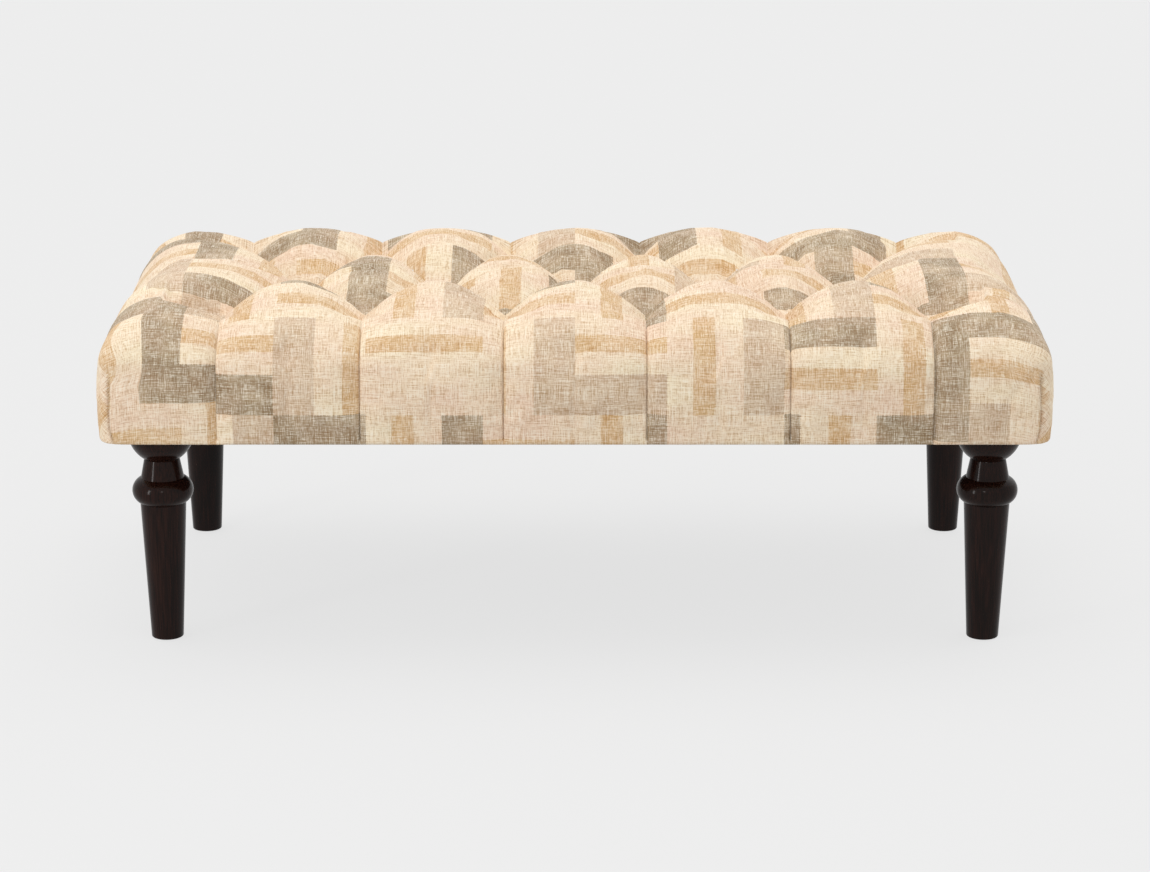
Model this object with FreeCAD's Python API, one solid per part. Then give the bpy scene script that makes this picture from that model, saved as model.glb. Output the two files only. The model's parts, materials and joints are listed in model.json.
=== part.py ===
import FreeCAD, Part
import math
import os

# A long diamond-tufted bench on four turned, screw-in legs.
# Millimetres, +Z up, front at -Y, origin on the floor under the middle of the seat.

Vec = FreeCAD.Vector

# Whole bench
LENGTH = 1168.0
DEPTH = 610.0
HEIGHT = 440.0

# Levels of the flat layers under the seat, from the floor up
LEG_TOP = 265.5
LEG_WASHER_THICK = 1.5
DUST_COVER_THICK = 1.0
COVER_THICK = 2.0
RAIL_HEIGHT = 70.0
DECK_THICK = 12.0
DUST_COVER_LOW = LEG_TOP + LEG_WASHER_THICK
COVER_LOW = DUST_COVER_LOW + DUST_COVER_THICK
FRAME_LOW = COVER_LOW + COVER_THICK
DECK_LOW = FRAME_LOW + RAIL_HEIGHT
DECK_TOP = DECK_LOW + DECK_THICK

# Turned legs: axes, then the profile from the foot up
LEG_X = 512.0
LEG_Y = 233.0
GLIDE_HEIGHT = 1.2
FOOT_RADIUS = 20.0
FOOT_ROUND = 1.8
TAPER_RADIUS = 28.4
RING_LOW = 177.0
RING_TOP = 209.0
RING_RADIUS = 37.8
NECK_LOW_RADIUS = 26.7
NECK_TOP_RADIUS = 21.7
NECK_STEP = 0.8
BUN_LOW_RADIUS = 22.4
BUN_RADIUS = 41.0
BUN_CENTRE = COVER_LOW

# Leg hardware
BOLT_RADIUS = 3.95
BOLT_WOOD_RADIUS = 3.5
BOLT_IN_LEG = 42.0
BOLT_ABOVE_LEG = 30.0
BOLT_CHAMFER = 1.0
THREAD_CLEARANCE = 0.05
LEG_WASHER_RADIUS = 16.0
LEG_WASHER_BORE = 4.4
PLATE_SIDE = 50.0
PLATE_ROUND = 6.0
PLATE_SCREW_OUT = 17.5
SLEEVE_RADIUS = 7.0
SLEEVE_HEIGHT = 12.0
GLIDE_RADIUS = 15.0
GLIDE_ROUND = 0.6
NAIL_RADIUS = 1.3
NAIL_HEIGHT = 14.0

# Frame
FRAME_IN = 24.0
RAIL_THICK = 22.0
BRACE_X = 218.0
BLOCK_SIDE = 90.0
BLOCK_HEIGHT = 60.0
BLOCK_CHAMFER = 38.0
BLOCK_HOLE_RADIUS = 7.3
BLOCK_HOLE_DEPTH = 34.0
DECK_ROUND = 8.0
FRAME_HALF_X = LENGTH / 2 - FRAME_IN
FRAME_HALF_Y = DEPTH / 2 - FRAME_IN
INNER_X = FRAME_HALF_X - RAIL_THICK
INNER_Y = FRAME_HALF_Y - RAIL_THICK

# Countersunk wood screws: length, shank radius, head radius
FRAME_SCREW = (50.0, 2.2, 4.4)
DECK_SCREW = (38.0, 2.0, 4.0)
PLATE_SCREW = (18.0, 1.9, 3.4)
SCREW_CLEARANCE = 0.05
SCREW_TIP = 4.0

# Staples
STAPLE_WIRE = 0.9
STAPLE_CROWN = 10.0
STAPLE_LEG = 9.0
STAPLE_PITCH = 62.0
COVER_STAPLE_IN = 7.0
DUST_STAPLE_IN = 15.0
LEG_STAPLE_CLEAR = 52.0
FLANGE_PAST_RAIL = 4.0
DUST_COVER_IN = 4.0
DUST_COVER_HOLE = 6.0

# Diamond tufting: three rows of blind tufts, the middle row half a column over
COLUMN_PITCH = 174.5
OUTER_ROW_TUFTS = 6
ROW_Y = 165.0
LAST_COLUMN = (OUTER_ROW_TUFTS - 1) / 2 * COLUMN_PITCH
TUFT_Z = 396.0
FOLD_Z = 415.0
PLEAT_CREST_Z = 422.0
CORNER_CREST_Z = 438.0
END_PLEAT_Z = 418.0

# Seat form
SHOULDER_Z = 375.0
BULGE_Z = 325.0
FACE_TUCK = 6.0
FACE_LEAN = 3.0
PLEAT_IN = 6.0
CREST_IN = 150.0
PLEAT_CREST_IN = 78.0
END_RUN = 150.0
CORNER_RADIUS = 36.0
LEAST_RISE = 0.03
LEAST_VALLEY = 1.5
LEAST_SWELL = 0.4
SHOULDER_SHARE = 0.72
GROOVE_HALF_WIDTH = 9.0
GROOVE_RISE = 24.0
STEPS_PER_COLUMN = 8
END_STEPS = (0.0, 1.5, 5.0, 11.0, 20.0, 33.0, 52.0, 80.0, 112.0)

# Soft layers and what ties them down
LAYER_GAP = 0.8
BATTING_THICK = 8.0
TWINE_RADIUS = 1.0
TWINE_BITE = 0.8
KNOT_RADIUS = 2.4
KNOT_DROP = 4.0
DECK_HOLE_RADIUS = 3.0
TUFT_WASHER_RADIUS = 11.0
TUFT_WASHER_BORE = 1.3
TUFT_WASHER_THICK = 1.5

CORNERS = {
    "front_left": (-1, -1),
    "front_right": (1, -1),
    "rear_left": (-1, 1),
    "rear_right": (1, 1),
}


def line(a, b):
    return Part.LineSegment(a, b).toShape()


def arc(a, b, c):
    return Part.Arc(a, b, c).toShape()


def block(x, y, z):
    """A box between two limits on each axis."""
    size = [limits[1] - limits[0] for limits in (x, y, z)]
    return Part.makeBox(*size, Vec(x[0], y[0], z[0]))


def post(radius, low, high, x=0.0, y=0.0):
    """An upright cylinder between two levels."""
    return Part.makeCylinder(radius, high - low, Vec(x, y, low))


def rounded_panel(half_x, half_y, low, high, radius):
    """A flat panel about the middle with its upright corners rounded."""
    panel = block((-half_x, half_x), (-half_y, half_y), (low, high))
    upright = [edge for edge in panel.Edges if abs(edge.BoundBox.ZLength - (high - low)) < 1e-6]
    return panel.makeFillet(radius, upright)


def moved(shape, x, y, z=0.0):
    copy = shape.copy()
    copy.translate(Vec(x, y, z))
    return copy


def cut_near(shape, tools):
    """The shape less those tools whose boxes reach it."""
    near = [tool for tool in tools if shape.BoundBox.intersect(tool.BoundBox)]
    return shape.cut(near) if near else shape


def save(name, shape):
    solids = shape.Solids
    if not solids or not shape.isValid():
        raise ValueError(f"{name} is not a sound solid")
    whole = solids[0] if len(solids) == 1 else Part.makeCompound(solids)
    whole.exportStep(f"parts/{name}.step")
    print(f"{name}: {len(solids)} solid(s), {whole.Volume / 1000:.1f} cm3")


# Tufted seat


def tuft_places():
    """The (x, y) of every tuft: two outer rows, and a middle row half a column over."""
    outer = [(i * COLUMN_PITCH - LAST_COLUMN, y) for y in (-ROW_Y, ROW_Y) for i in range(OUTER_ROW_TUFTS)]
    middle = [((i + 0.5) * COLUMN_PITCH - LAST_COLUMN, 0.0) for i in range(OUTER_ROW_TUFTS - 1)]
    return outer + middle


def field_shape(x):
    """Crest, valleys and pleat of the section at x, between the first and last columns of tufts."""
    turn = (abs(x) / COLUMN_PITCH) % 1.0
    toward_middle = 2 * abs(turn - 0.5)
    swell = math.sin(math.pi / 2 * toward_middle)
    fold = math.sin(math.pi * toward_middle)
    dome = max(math.cos(math.pi / 2 * toward_middle), 0.0) ** 0.7
    return {
        "pleat": PLEAT_IN * (1 - toward_middle) ** 2,
        "crest_in": PLEAT_CREST_IN + (CREST_IN - PLEAT_CREST_IN) * swell,
        "crest_z": PLEAT_CREST_Z + (HEIGHT - PLEAT_CREST_Z) * swell,
        "valley_y": max(ROW_Y * (1 - toward_middle), LEAST_VALLEY),
        "valley_z": TUFT_Z + (FOLD_Z - TUFT_Z) * fold,
        "middle_z": TUFT_Z + (HEIGHT - TUFT_Z) * dome,
        "rise": 1.0,
        "corner": 0.0,
    }


def end_shape(from_end, run):
    """The same for a section past the last column, at a distance from the end face."""
    along = min(2 * (1 - from_end / run), 1.0)
    swell = math.sin(math.pi / 2 * along)
    shoulder = 1 - min(from_end / END_RUN, 1.0)
    turn = 1 - min(from_end / CORNER_RADIUS, 1.0)
    return {
        "pleat": PLEAT_IN * (1 - along) ** 2,
        "crest_in": PLEAT_CREST_IN,
        "crest_z": PLEAT_CREST_Z + (CORNER_CREST_Z - PLEAT_CREST_Z) * swell,
        "valley_y": ROW_Y,
        "valley_z": TUFT_Z + (END_PLEAT_Z - TUFT_Z) * swell,
        "middle_z": HEIGHT,
        "rise": max(math.sqrt(1 - shoulder**2), LEAST_RISE),
        "corner": CORNER_RADIUS * (1 - math.sqrt(1 - turn**2)),
    }


def shoulder_points(shoulder, crest):
    """Points of two tangent arcs that leave the upright face and reach the crest level."""
    width = shoulder[0] - crest[0]
    rise = crest[1] - shoulder[1]
    small = SHOULDER_SHARE * rise
    large = (width**2 + rise**2 - 2 * width * small) / (2 * (rise - small))
    small_centre = (shoulder[0] - small, shoulder[1])
    large_centre = (crest[0], crest[1] - large)
    meet = math.atan2(small_centre[1] - large_centre[1], small_centre[0] - large_centre[0])

    def on(centre, radius, angle):
        return (centre[0] + radius * math.cos(angle), centre[1] + radius * math.sin(angle))

    return [
        on(small_centre, small, meet / 2),
        on(small_centre, small, meet),
        on(large_centre, large, (meet + math.pi / 2) / 2),
    ]


def fall_point(crest, valley):
    """The middle of the arc that leaves the crest level and comes down to the valley."""
    width = crest[0] - valley[0]
    drop = crest[1] - valley[1]
    radius = (width**2 + drop**2) / (2 * drop)
    half_turn = math.asin(min(width / radius, 1.0)) / 2
    return (crest[0] - radius * math.sin(half_turn), crest[1] - radius * (1 - math.cos(half_turn)))


def seat_section(x, inset, low):
    """The closed outline of the seat at x, drawn in by inset, from the level low up."""
    run = LENGTH / 2 - inset - LAST_COLUMN
    from_end = LENGTH / 2 - inset - abs(x)
    shape = field_shape(x) if from_end > run - 1e-6 else end_shape(from_end, run)
    half_depth = DEPTH / 2 - inset - shape["corner"]

    def raised(z):
        return SHOULDER_Z + (z - inset - SHOULDER_Z) * shape["rise"]

    def face(z):
        below = max(BULGE_Z - z, 0.0) / (BULGE_Z - COVER_LOW)
        above = max(z - BULGE_Z, 0.0) / (SHOULDER_Z - BULGE_Z)
        return half_depth - shape["pleat"] - FACE_TUCK * below**2 - FACE_LEAN * above**2

    shoulder = (face(SHOULDER_Z), SHOULDER_Z)
    crest = (half_depth - shape["crest_in"], raised(shape["crest_z"]))
    valley = (shape["valley_y"], raised(shape["valley_z"]))
    middle_z = max(raised(shape["middle_z"]), valley[1] + LEAST_SWELL)
    mid_face = (low + SHOULDER_Z) / 2
    outline = [(face(low), low), (face(mid_face), mid_face), shoulder]
    outline += shoulder_points(shoulder, crest) + [crest]
    outline += [fall_point(crest, valley), valley]
    front = [Vec(x, -y, z) for y, z in outline]
    rear = [Vec(x, y, z) for y, z in reversed(outline)]
    points = front + [Vec(x, 0.0, middle_z)] + rear
    arcs = [arc(*points[i : i + 3]) for i in range(0, len(points) - 2, 2)]
    return Part.Wire(arcs + [line(points[-1], points[0])])


def seat_stations(half_length):
    """Where the sections stand, from the left end to the right."""
    columns = STEPS_PER_COLUMN * (OUTER_ROW_TUFTS - 1)
    step = COLUMN_PITCH / STEPS_PER_COLUMN
    field = [i * step - LAST_COLUMN for i in range(columns + 1)]
    left = [distance - half_length for distance in END_STEPS]
    right = [half_length - distance for distance in reversed(END_STEPS)]
    return left + field + right


def end_groove(half_length, low, side_x, side_y):
    """The channel that an end pleat leaves down the end face."""
    y = side_y * ROW_Y
    outer_x = side_x * (half_length + 1.0)
    corners = [
        Vec(side_x * (half_length - PLEAT_IN), y, low - 1.0),
        Vec(outer_x, y - GROOVE_HALF_WIDTH, low - 1.0),
        Vec(outer_x, y + GROOVE_HALF_WIDTH, low - 1.0),
    ]
    face = Part.Face(Part.makePolygon(corners + corners[:1]))
    return face.extrude(Vec(0, 0, SHOULDER_Z + GROOVE_RISE - low))


def seat_form(inset, low):
    """The whole tufted form, drawn in by inset, as one solid."""
    half_length = LENGTH / 2 - inset
    sections = [seat_section(x, inset, low) for x in seat_stations(half_length)]
    grooves = [end_groove(half_length, low, sx, sy) for sx, sy in CORNERS.values()]
    return Part.makeLoft(sections, True, True).cut(grooves)


def seat_cover():
    """The cover: a thin tufted shell whose edge turns under the rails."""
    shell = seat_form(0.0, COVER_LOW).cut(seat_form(COVER_THICK, FRAME_LOW))
    half_x = INNER_X + FLANGE_PAST_RAIL
    half_y = INNER_Y + FLANGE_PAST_RAIL
    opening = block((-half_x, half_x), (-half_y, half_y), (COVER_LOW - 1.0, FRAME_LOW + 1.0))
    return shell.cut(opening)


def batting_wrap():
    """Wadding over the foam and down the sides, open below."""
    outer = COVER_THICK + LAYER_GAP
    wrap = seat_form(outer, FRAME_LOW + LAYER_GAP)
    return wrap.cut(seat_form(outer + BATTING_THICK, FRAME_LOW - 1.0))


def foam_core():
    return seat_form(COVER_THICK + BATTING_THICK + 2 * LAYER_GAP, DECK_TOP)


def tuft_twines():
    """Twine from each tuft down through the deck, with a knot under its washer."""
    knot_z = DECK_LOW - KNOT_DROP
    top = TUFT_Z - TWINE_BITE
    twines = []
    for x, y in tuft_places():
        knot = Part.makeSphere(KNOT_RADIUS, Vec(x, y, knot_z))
        twines.append(post(TWINE_RADIUS, knot_z, top, x, y).fuse(knot))
    return Part.makeCompound(twines)


def tuft_washers():
    low = DECK_LOW - TUFT_WASHER_THICK
    washer = post(TUFT_WASHER_RADIUS, low, DECK_LOW).cut(post(TUFT_WASHER_BORE, low - 1, DECK_LOW + 1))
    return Part.makeCompound([moved(washer, x, y) for x, y in tuft_places()])


# Screws


def screw(kind, grow=0.0):
    """A countersunk screw with its flat head at the origin, pointing up; grow gives its bore."""
    length, shank, head = kind
    shank += grow
    head += grow
    head_height = head - shank
    cone = Part.makeCone(head, shank, head_height)
    body = Part.makeCylinder(shank, length - SCREW_TIP - head_height, Vec(0, 0, head_height))
    tip = Part.makeCone(shank, shank / 8, SCREW_TIP + grow, Vec(0, 0, length - SCREW_TIP))
    return cone.fuse([body, tip])


def placed(shape, place):
    """The shape turned from +Z to a direction, then moved to a point."""
    point, direction = place
    copy = shape.copy()
    copy.Placement = FreeCAD.Placement(Vec(*point), FreeCAD.Rotation(Vec(0, 0, 1), Vec(*direction)))
    return copy


def frame_screw_places():
    """Heads on the rails' outer faces: corner blocks, rail ends and braces."""
    places = []
    for sx, sy in CORNERS.values():
        face_x = sx * FRAME_HALF_X
        face_y = sy * FRAME_HALF_Y
        end_rail_x = sx * (FRAME_HALF_X - RAIL_THICK / 2)
        places += [((face_x, sy * y, FRAME_LOW + 52.0), (-sx, 0, 0)) for y in (190.0, 240.0)]
        places += [((sx * x, face_y, FRAME_LOW + 42.0), (0, -sy, 0)) for x in (470.0, 520.0)]
        places += [((end_rail_x, face_y, FRAME_LOW + z), (0, -sy, 0)) for z in (15.0, 30.0)]
        places += [((sx * BRACE_X, face_y, FRAME_LOW + z), (0, -sy, 0)) for z in (20.0, 50.0)]
    return places


def deck_screw_places():
    """Heads flush in the deck's top, over the rails and braces."""
    rail_y = FRAME_HALF_Y - RAIL_THICK / 2
    rail_x = FRAME_HALF_X - RAIL_THICK / 2
    spots = [(x, sy * rail_y) for sy in (-1, 1) for x in (-400.0, -130.0, 130.0, 400.0)]
    spots += [(sx * rail_x, y) for sx in (-1, 1) for y in (-110.0, 110.0)]
    spots += [(sx * BRACE_X, y) for sx in (-1, 1) for y in (-90.0, 90.0)]
    return [((x, y, DECK_TOP), (0, 0, -1)) for x, y in spots]


def plate_screw_places():
    out = PLATE_SCREW_OUT
    offsets = [(out * sx, out * sy) for sx, sy in CORNERS.values()]
    axes = [(sx * LEG_X, sy * LEG_Y) for sx, sy in CORNERS.values()]
    return [((x + dx, y + dy, COVER_LOW), (0, 0, 1)) for x, y in axes for dx, dy in offsets]


# Frame


def corner_block(sx, sy, bores):
    """A block in the corner of the rails, its inner corner cut off, drilled for the leg's bolt."""
    inner_x = INNER_X - BLOCK_SIDE
    inner_y = INNER_Y - BLOCK_SIDE
    outline = [
        (INNER_X, INNER_Y),
        (inner_x, INNER_Y),
        (inner_x, inner_y + BLOCK_CHAMFER),
        (inner_x + BLOCK_CHAMFER, inner_y),
        (INNER_X, inner_y),
    ]
    corners = [Vec(sx * x, sy * y, FRAME_LOW) for x, y in outline]
    solid = Part.Face(Part.makePolygon(corners + corners[:1])).extrude(Vec(0, 0, BLOCK_HEIGHT))
    hole = post(BLOCK_HOLE_RADIUS, FRAME_LOW - 1, FRAME_LOW + BLOCK_HOLE_DEPTH, sx * LEG_X, sy * LEG_Y)
    return cut_near(solid.cut(hole), bores)


def leg_plate(sx, sy, bores):
    """A steel plate under the block, with a threaded sleeve up into it."""
    half = PLATE_SIDE / 2
    plate = rounded_panel(half, half, COVER_LOW, FRAME_LOW, PLATE_ROUND)
    plate = plate.fuse(post(SLEEVE_RADIUS, COVER_LOW, FRAME_LOW + SLEEVE_HEIGHT))
    bore = post(BOLT_RADIUS + THREAD_CLEARANCE, COVER_LOW - 1, FRAME_LOW + SLEEVE_HEIGHT + 1)
    return cut_near(moved(plate.cut(bore), sx * LEG_X, sy * LEG_Y), bores)


def deck_panel(bores):
    panel = rounded_panel(FRAME_HALF_X, FRAME_HALF_Y, DECK_LOW, DECK_TOP, DECK_ROUND)
    holes = [post(DECK_HOLE_RADIUS, DECK_LOW - 1, DECK_TOP + 1, x, y) for x, y in tuft_places()]
    return cut_near(panel.cut(holes), bores)


def frame_pieces(bores):
    """Rails, braces and corner blocks by name."""
    z = (FRAME_LOW, DECK_LOW)
    whole_x = (-FRAME_HALF_X, FRAME_HALF_X)
    between_y = (-INNER_Y, INNER_Y)
    half = RAIL_THICK / 2
    pieces = {
        "front_rail": block(whole_x, (-FRAME_HALF_Y, -INNER_Y), z),
        "rear_rail": block(whole_x, (INNER_Y, FRAME_HALF_Y), z),
        "left_end_rail": block((-FRAME_HALF_X, -INNER_X), between_y, z),
        "right_end_rail": block((INNER_X, FRAME_HALF_X), between_y, z),
        "left_brace": block((-BRACE_X - half, -BRACE_X + half), between_y, z),
        "right_brace": block((BRACE_X - half, BRACE_X + half), between_y, z),
    }
    return {name: cut_near(piece, bores) for name, piece in pieces.items()}


# Dust cover and staples


def dust_cover():
    half_x = FRAME_HALF_X - DUST_COVER_IN
    half_y = FRAME_HALF_Y - DUST_COVER_IN
    sheet = block((-half_x, half_x), (-half_y, half_y), (DUST_COVER_LOW, COVER_LOW))
    axes = [(sx * LEG_X, sy * LEG_Y) for sx, sy in CORNERS.values()]
    return sheet.cut([post(DUST_COVER_HOLE, DUST_COVER_LOW - 1, COVER_LOW + 1, x, y) for x, y in axes])


def staple(along_x):
    """A staple with the underside of its crown at the origin, its legs pointing up."""
    half = STAPLE_CROWN / 2
    wire = STAPLE_WIRE / 2
    height = STAPLE_WIRE + STAPLE_LEG
    side = (-wire, wire)
    crown = block((-half, half), side, (0.0, STAPLE_WIRE))
    legs = [block((x - wire, x + wire), side, (0.0, height)) for x in (-half + wire, half - wire)]
    whole = crown.fuse(legs).removeSplitter()
    if not along_x:
        whole.rotate(Vec(0, 0, 0), Vec(0, 0, 1), 90)
    return whole


def staple_row(inset, crown_z, shift):
    """Staples all round under the rails, left out where a leg's top would cover them."""
    line_x = FRAME_HALF_X - inset
    line_y = FRAME_HALF_Y - inset
    spots = []
    for reach, across, along_x in ((line_x, line_y, True), (line_y, line_x, False)):
        count = int(2 * reach / STAPLE_PITCH)
        for i in range(count):
            at = (i + 0.5 - count / 2) * STAPLE_PITCH + shift
            for side in (-across, across):
                spots.append((at, side, True) if along_x else (side, at, False))
    staples = []
    for x, y, along_x in spots:
        if math.hypot(abs(x) - LEG_X, abs(y) - LEG_Y) > LEG_STAPLE_CLEAR:
            staples.append(moved(staple(along_x), x, y, crown_z))
    return Part.makeCompound(staples)


# Legs


def turned_leg():
    """One leg on its own axis, drilled for its bolt and glide nail."""
    low = GLIDE_HEIGHT
    bun_low = BUN_CENTRE - math.sqrt(BUN_RADIUS**2 - BUN_LOW_RADIUS**2)
    top_radius = math.sqrt(BUN_RADIUS**2 - (BUN_CENTRE - LEG_TOP) ** 2)
    low_angle = math.atan2(bun_low - BUN_CENTRE, BUN_LOW_RADIUS)
    top_angle = math.atan2(LEG_TOP - BUN_CENTRE, top_radius)
    bun_angle = (low_angle + top_angle) / 2
    round_off = FOOT_ROUND * (1 - math.sqrt(0.5))
    foot_edge = Vec(FOOT_RADIUS - FOOT_ROUND, 0, low)
    foot_mid = Vec(FOOT_RADIUS - round_off, 0, low + round_off)
    foot_top = Vec(FOOT_RADIUS, 0, low + FOOT_ROUND)
    ring_low = Vec(TAPER_RADIUS, 0, RING_LOW)
    ring_mid = Vec(RING_RADIUS, 0, (RING_LOW + RING_TOP) / 2)
    ring_top = Vec(NECK_LOW_RADIUS, 0, RING_TOP)
    neck_top = Vec(NECK_TOP_RADIUS, 0, bun_low - NECK_STEP)
    bun_edge = Vec(BUN_LOW_RADIUS, 0, bun_low)
    bun_mid = Vec(BUN_RADIUS * math.cos(bun_angle), 0, BUN_CENTRE + BUN_RADIUS * math.sin(bun_angle))
    bun_top = Vec(top_radius, 0, LEG_TOP)
    profile = [
        line(Vec(0, 0, low), foot_edge),
        arc(foot_edge, foot_mid, foot_top),
        line(foot_top, ring_low),
        arc(ring_low, ring_mid, ring_top),
        line(ring_top, neck_top),
        line(neck_top, bun_edge),
        arc(bun_edge, bun_mid, bun_top),
        line(bun_top, Vec(0, 0, LEG_TOP)),
        line(Vec(0, 0, LEG_TOP), Vec(0, 0, low)),
    ]
    leg = Part.Face(Part.Wire(profile)).revolve(Vec(0, 0, 0), Vec(0, 0, 1), 360)
    bolt_hole = post(BOLT_WOOD_RADIUS + SCREW_CLEARANCE, LEG_TOP - BOLT_IN_LEG - 1, LEG_TOP + 1)
    nail_hole = post(NAIL_RADIUS + SCREW_CLEARANCE, low - 1, low + NAIL_HEIGHT + 1)
    return leg.cut([bolt_hole, nail_hole])


def hanger_bolt():
    """Wood end in the leg, machine end up into the plate's sleeve."""
    wood = post(BOLT_WOOD_RADIUS, LEG_TOP - BOLT_IN_LEG, LEG_TOP)
    top = LEG_TOP + BOLT_ABOVE_LEG
    machine = post(BOLT_RADIUS, LEG_TOP, top - BOLT_CHAMFER)
    end = Part.makeCone(BOLT_RADIUS, BOLT_RADIUS - BOLT_CHAMFER, BOLT_CHAMFER, Vec(0, 0, top - BOLT_CHAMFER))
    return wood.fuse([machine, end])


def leg_washer():
    ring = post(LEG_WASHER_RADIUS, LEG_TOP, DUST_COVER_LOW)
    return ring.cut(post(LEG_WASHER_BORE, LEG_TOP - 1, DUST_COVER_LOW + 1))


def foot_glide():
    """A low disc with its floor edge rounded, on a nail."""
    disc = post(GLIDE_RADIUS, 0.0, GLIDE_HEIGHT)
    floor_edge = [edge for edge in disc.Edges if edge.BoundBox.ZMax < 1e-6]
    disc = disc.makeFillet(GLIDE_ROUND, floor_edge)
    return disc.fuse(post(NAIL_RADIUS, GLIDE_HEIGHT, GLIDE_HEIGHT + NAIL_HEIGHT))


def main():
    os.makedirs("parts", exist_ok=True)
    frame_places = frame_screw_places()
    deck_places = deck_screw_places()
    plate_places = plate_screw_places()
    frame_bores = [placed(screw(FRAME_SCREW, SCREW_CLEARANCE), place) for place in frame_places]
    deck_bores = [placed(screw(DECK_SCREW, SCREW_CLEARANCE), place) for place in deck_places]
    plate_bores = [placed(screw(PLATE_SCREW, SCREW_CLEARANCE), place) for place in plate_places]

    save("seat_cover", seat_cover())
    save("batting_wrap", batting_wrap())
    save("foam_core", foam_core())
    save("tuft_twines", tuft_twines())
    save("tuft_washers", tuft_washers())
    save("deck_panel", deck_panel(deck_bores))
    for name, piece in frame_pieces(frame_bores + deck_bores).items():
        save(name, piece)
    save("frame_screws", Part.makeCompound([placed(screw(FRAME_SCREW), place) for place in frame_places]))
    save("deck_screws", Part.makeCompound([placed(screw(DECK_SCREW), place) for place in deck_places]))
    save("leg_plate_screws", Part.makeCompound([placed(screw(PLATE_SCREW), place) for place in plate_places]))
    save("dust_cover", dust_cover())
    save("cover_staples", staple_row(COVER_STAPLE_IN, COVER_LOW, 0.0))
    save("dust_cover_staples", staple_row(DUST_STAPLE_IN, DUST_COVER_LOW - STAPLE_WIRE, STAPLE_PITCH / 2))
    for corner, (sx, sy) in CORNERS.items():
        save(f"corner_block_{corner}", corner_block(sx, sy, frame_bores + plate_bores))
        save(f"leg_plate_{corner}", leg_plate(sx, sy, plate_bores))
        save(f"leg_{corner}", moved(turned_leg(), sx * LEG_X, sy * LEG_Y))
        save(f"hanger_bolt_{corner}", moved(hanger_bolt(), sx * LEG_X, sy * LEG_Y))
        save(f"leg_washer_{corner}", moved(leg_washer(), sx * LEG_X, sy * LEG_Y))
        save(f"foot_glide_{corner}", moved(foot_glide(), sx * LEG_X, sy * LEG_Y))


main()
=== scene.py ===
"""Looks of a long diamond-tufted bench on turned dark legs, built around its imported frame.

Metres, +Z up, front at -Y. Each sub-assembly is a class that builds and dresses its own pieces.
"""

import json
import logging
import math
from dataclasses import dataclass, field
from enum import Enum
from typing import Any, Sequence

import bpy
import numpy as np
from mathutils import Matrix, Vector


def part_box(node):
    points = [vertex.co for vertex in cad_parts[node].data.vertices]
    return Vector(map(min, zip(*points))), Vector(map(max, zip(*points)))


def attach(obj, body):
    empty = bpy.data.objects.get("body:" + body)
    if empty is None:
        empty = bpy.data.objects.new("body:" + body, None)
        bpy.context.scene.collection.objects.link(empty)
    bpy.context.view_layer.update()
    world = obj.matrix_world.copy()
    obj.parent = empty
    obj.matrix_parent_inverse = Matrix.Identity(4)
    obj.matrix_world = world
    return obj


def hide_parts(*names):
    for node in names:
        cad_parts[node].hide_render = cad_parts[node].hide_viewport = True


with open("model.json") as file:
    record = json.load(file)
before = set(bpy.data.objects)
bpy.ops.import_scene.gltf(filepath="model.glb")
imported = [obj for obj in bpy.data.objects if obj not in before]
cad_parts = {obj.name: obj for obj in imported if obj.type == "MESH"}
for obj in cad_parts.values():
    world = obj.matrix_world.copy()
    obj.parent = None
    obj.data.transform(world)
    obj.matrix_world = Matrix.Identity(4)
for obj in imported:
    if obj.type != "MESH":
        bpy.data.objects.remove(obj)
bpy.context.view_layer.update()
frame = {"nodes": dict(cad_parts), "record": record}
log = logging.getLogger("bench")

Color = tuple[float, float, float, float]
Triple = tuple[float, float, float]
Outline = list[tuple[float, float]]

IMAGE_WIDTH = 1150


class Corner(Enum):
    """The bench's four corners, as the frame's nodes and bodies spell them."""

    FRONT_LEFT = "front_left"
    FRONT_RIGHT = "front_right"
    REAR_LEFT = "rear_left"
    REAR_RIGHT = "rear_right"


def linear(red: int, green: int, blue: int) -> Color:
    """Turns a colour written in 0 to 255 screen steps into a shader colour.

    Args:
        red: Red step.
        green: Green step.
        blue: Blue step.

    Returns:
        The colour in linear light, opaque.
    """
    steps = [step / 255 for step in (red, green, blue)]
    light = [s / 12.92 if s <= 0.04045 else ((s + 0.055) / 1.055) ** 2.4 for s in steps]
    return (*light, 1.0)


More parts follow.
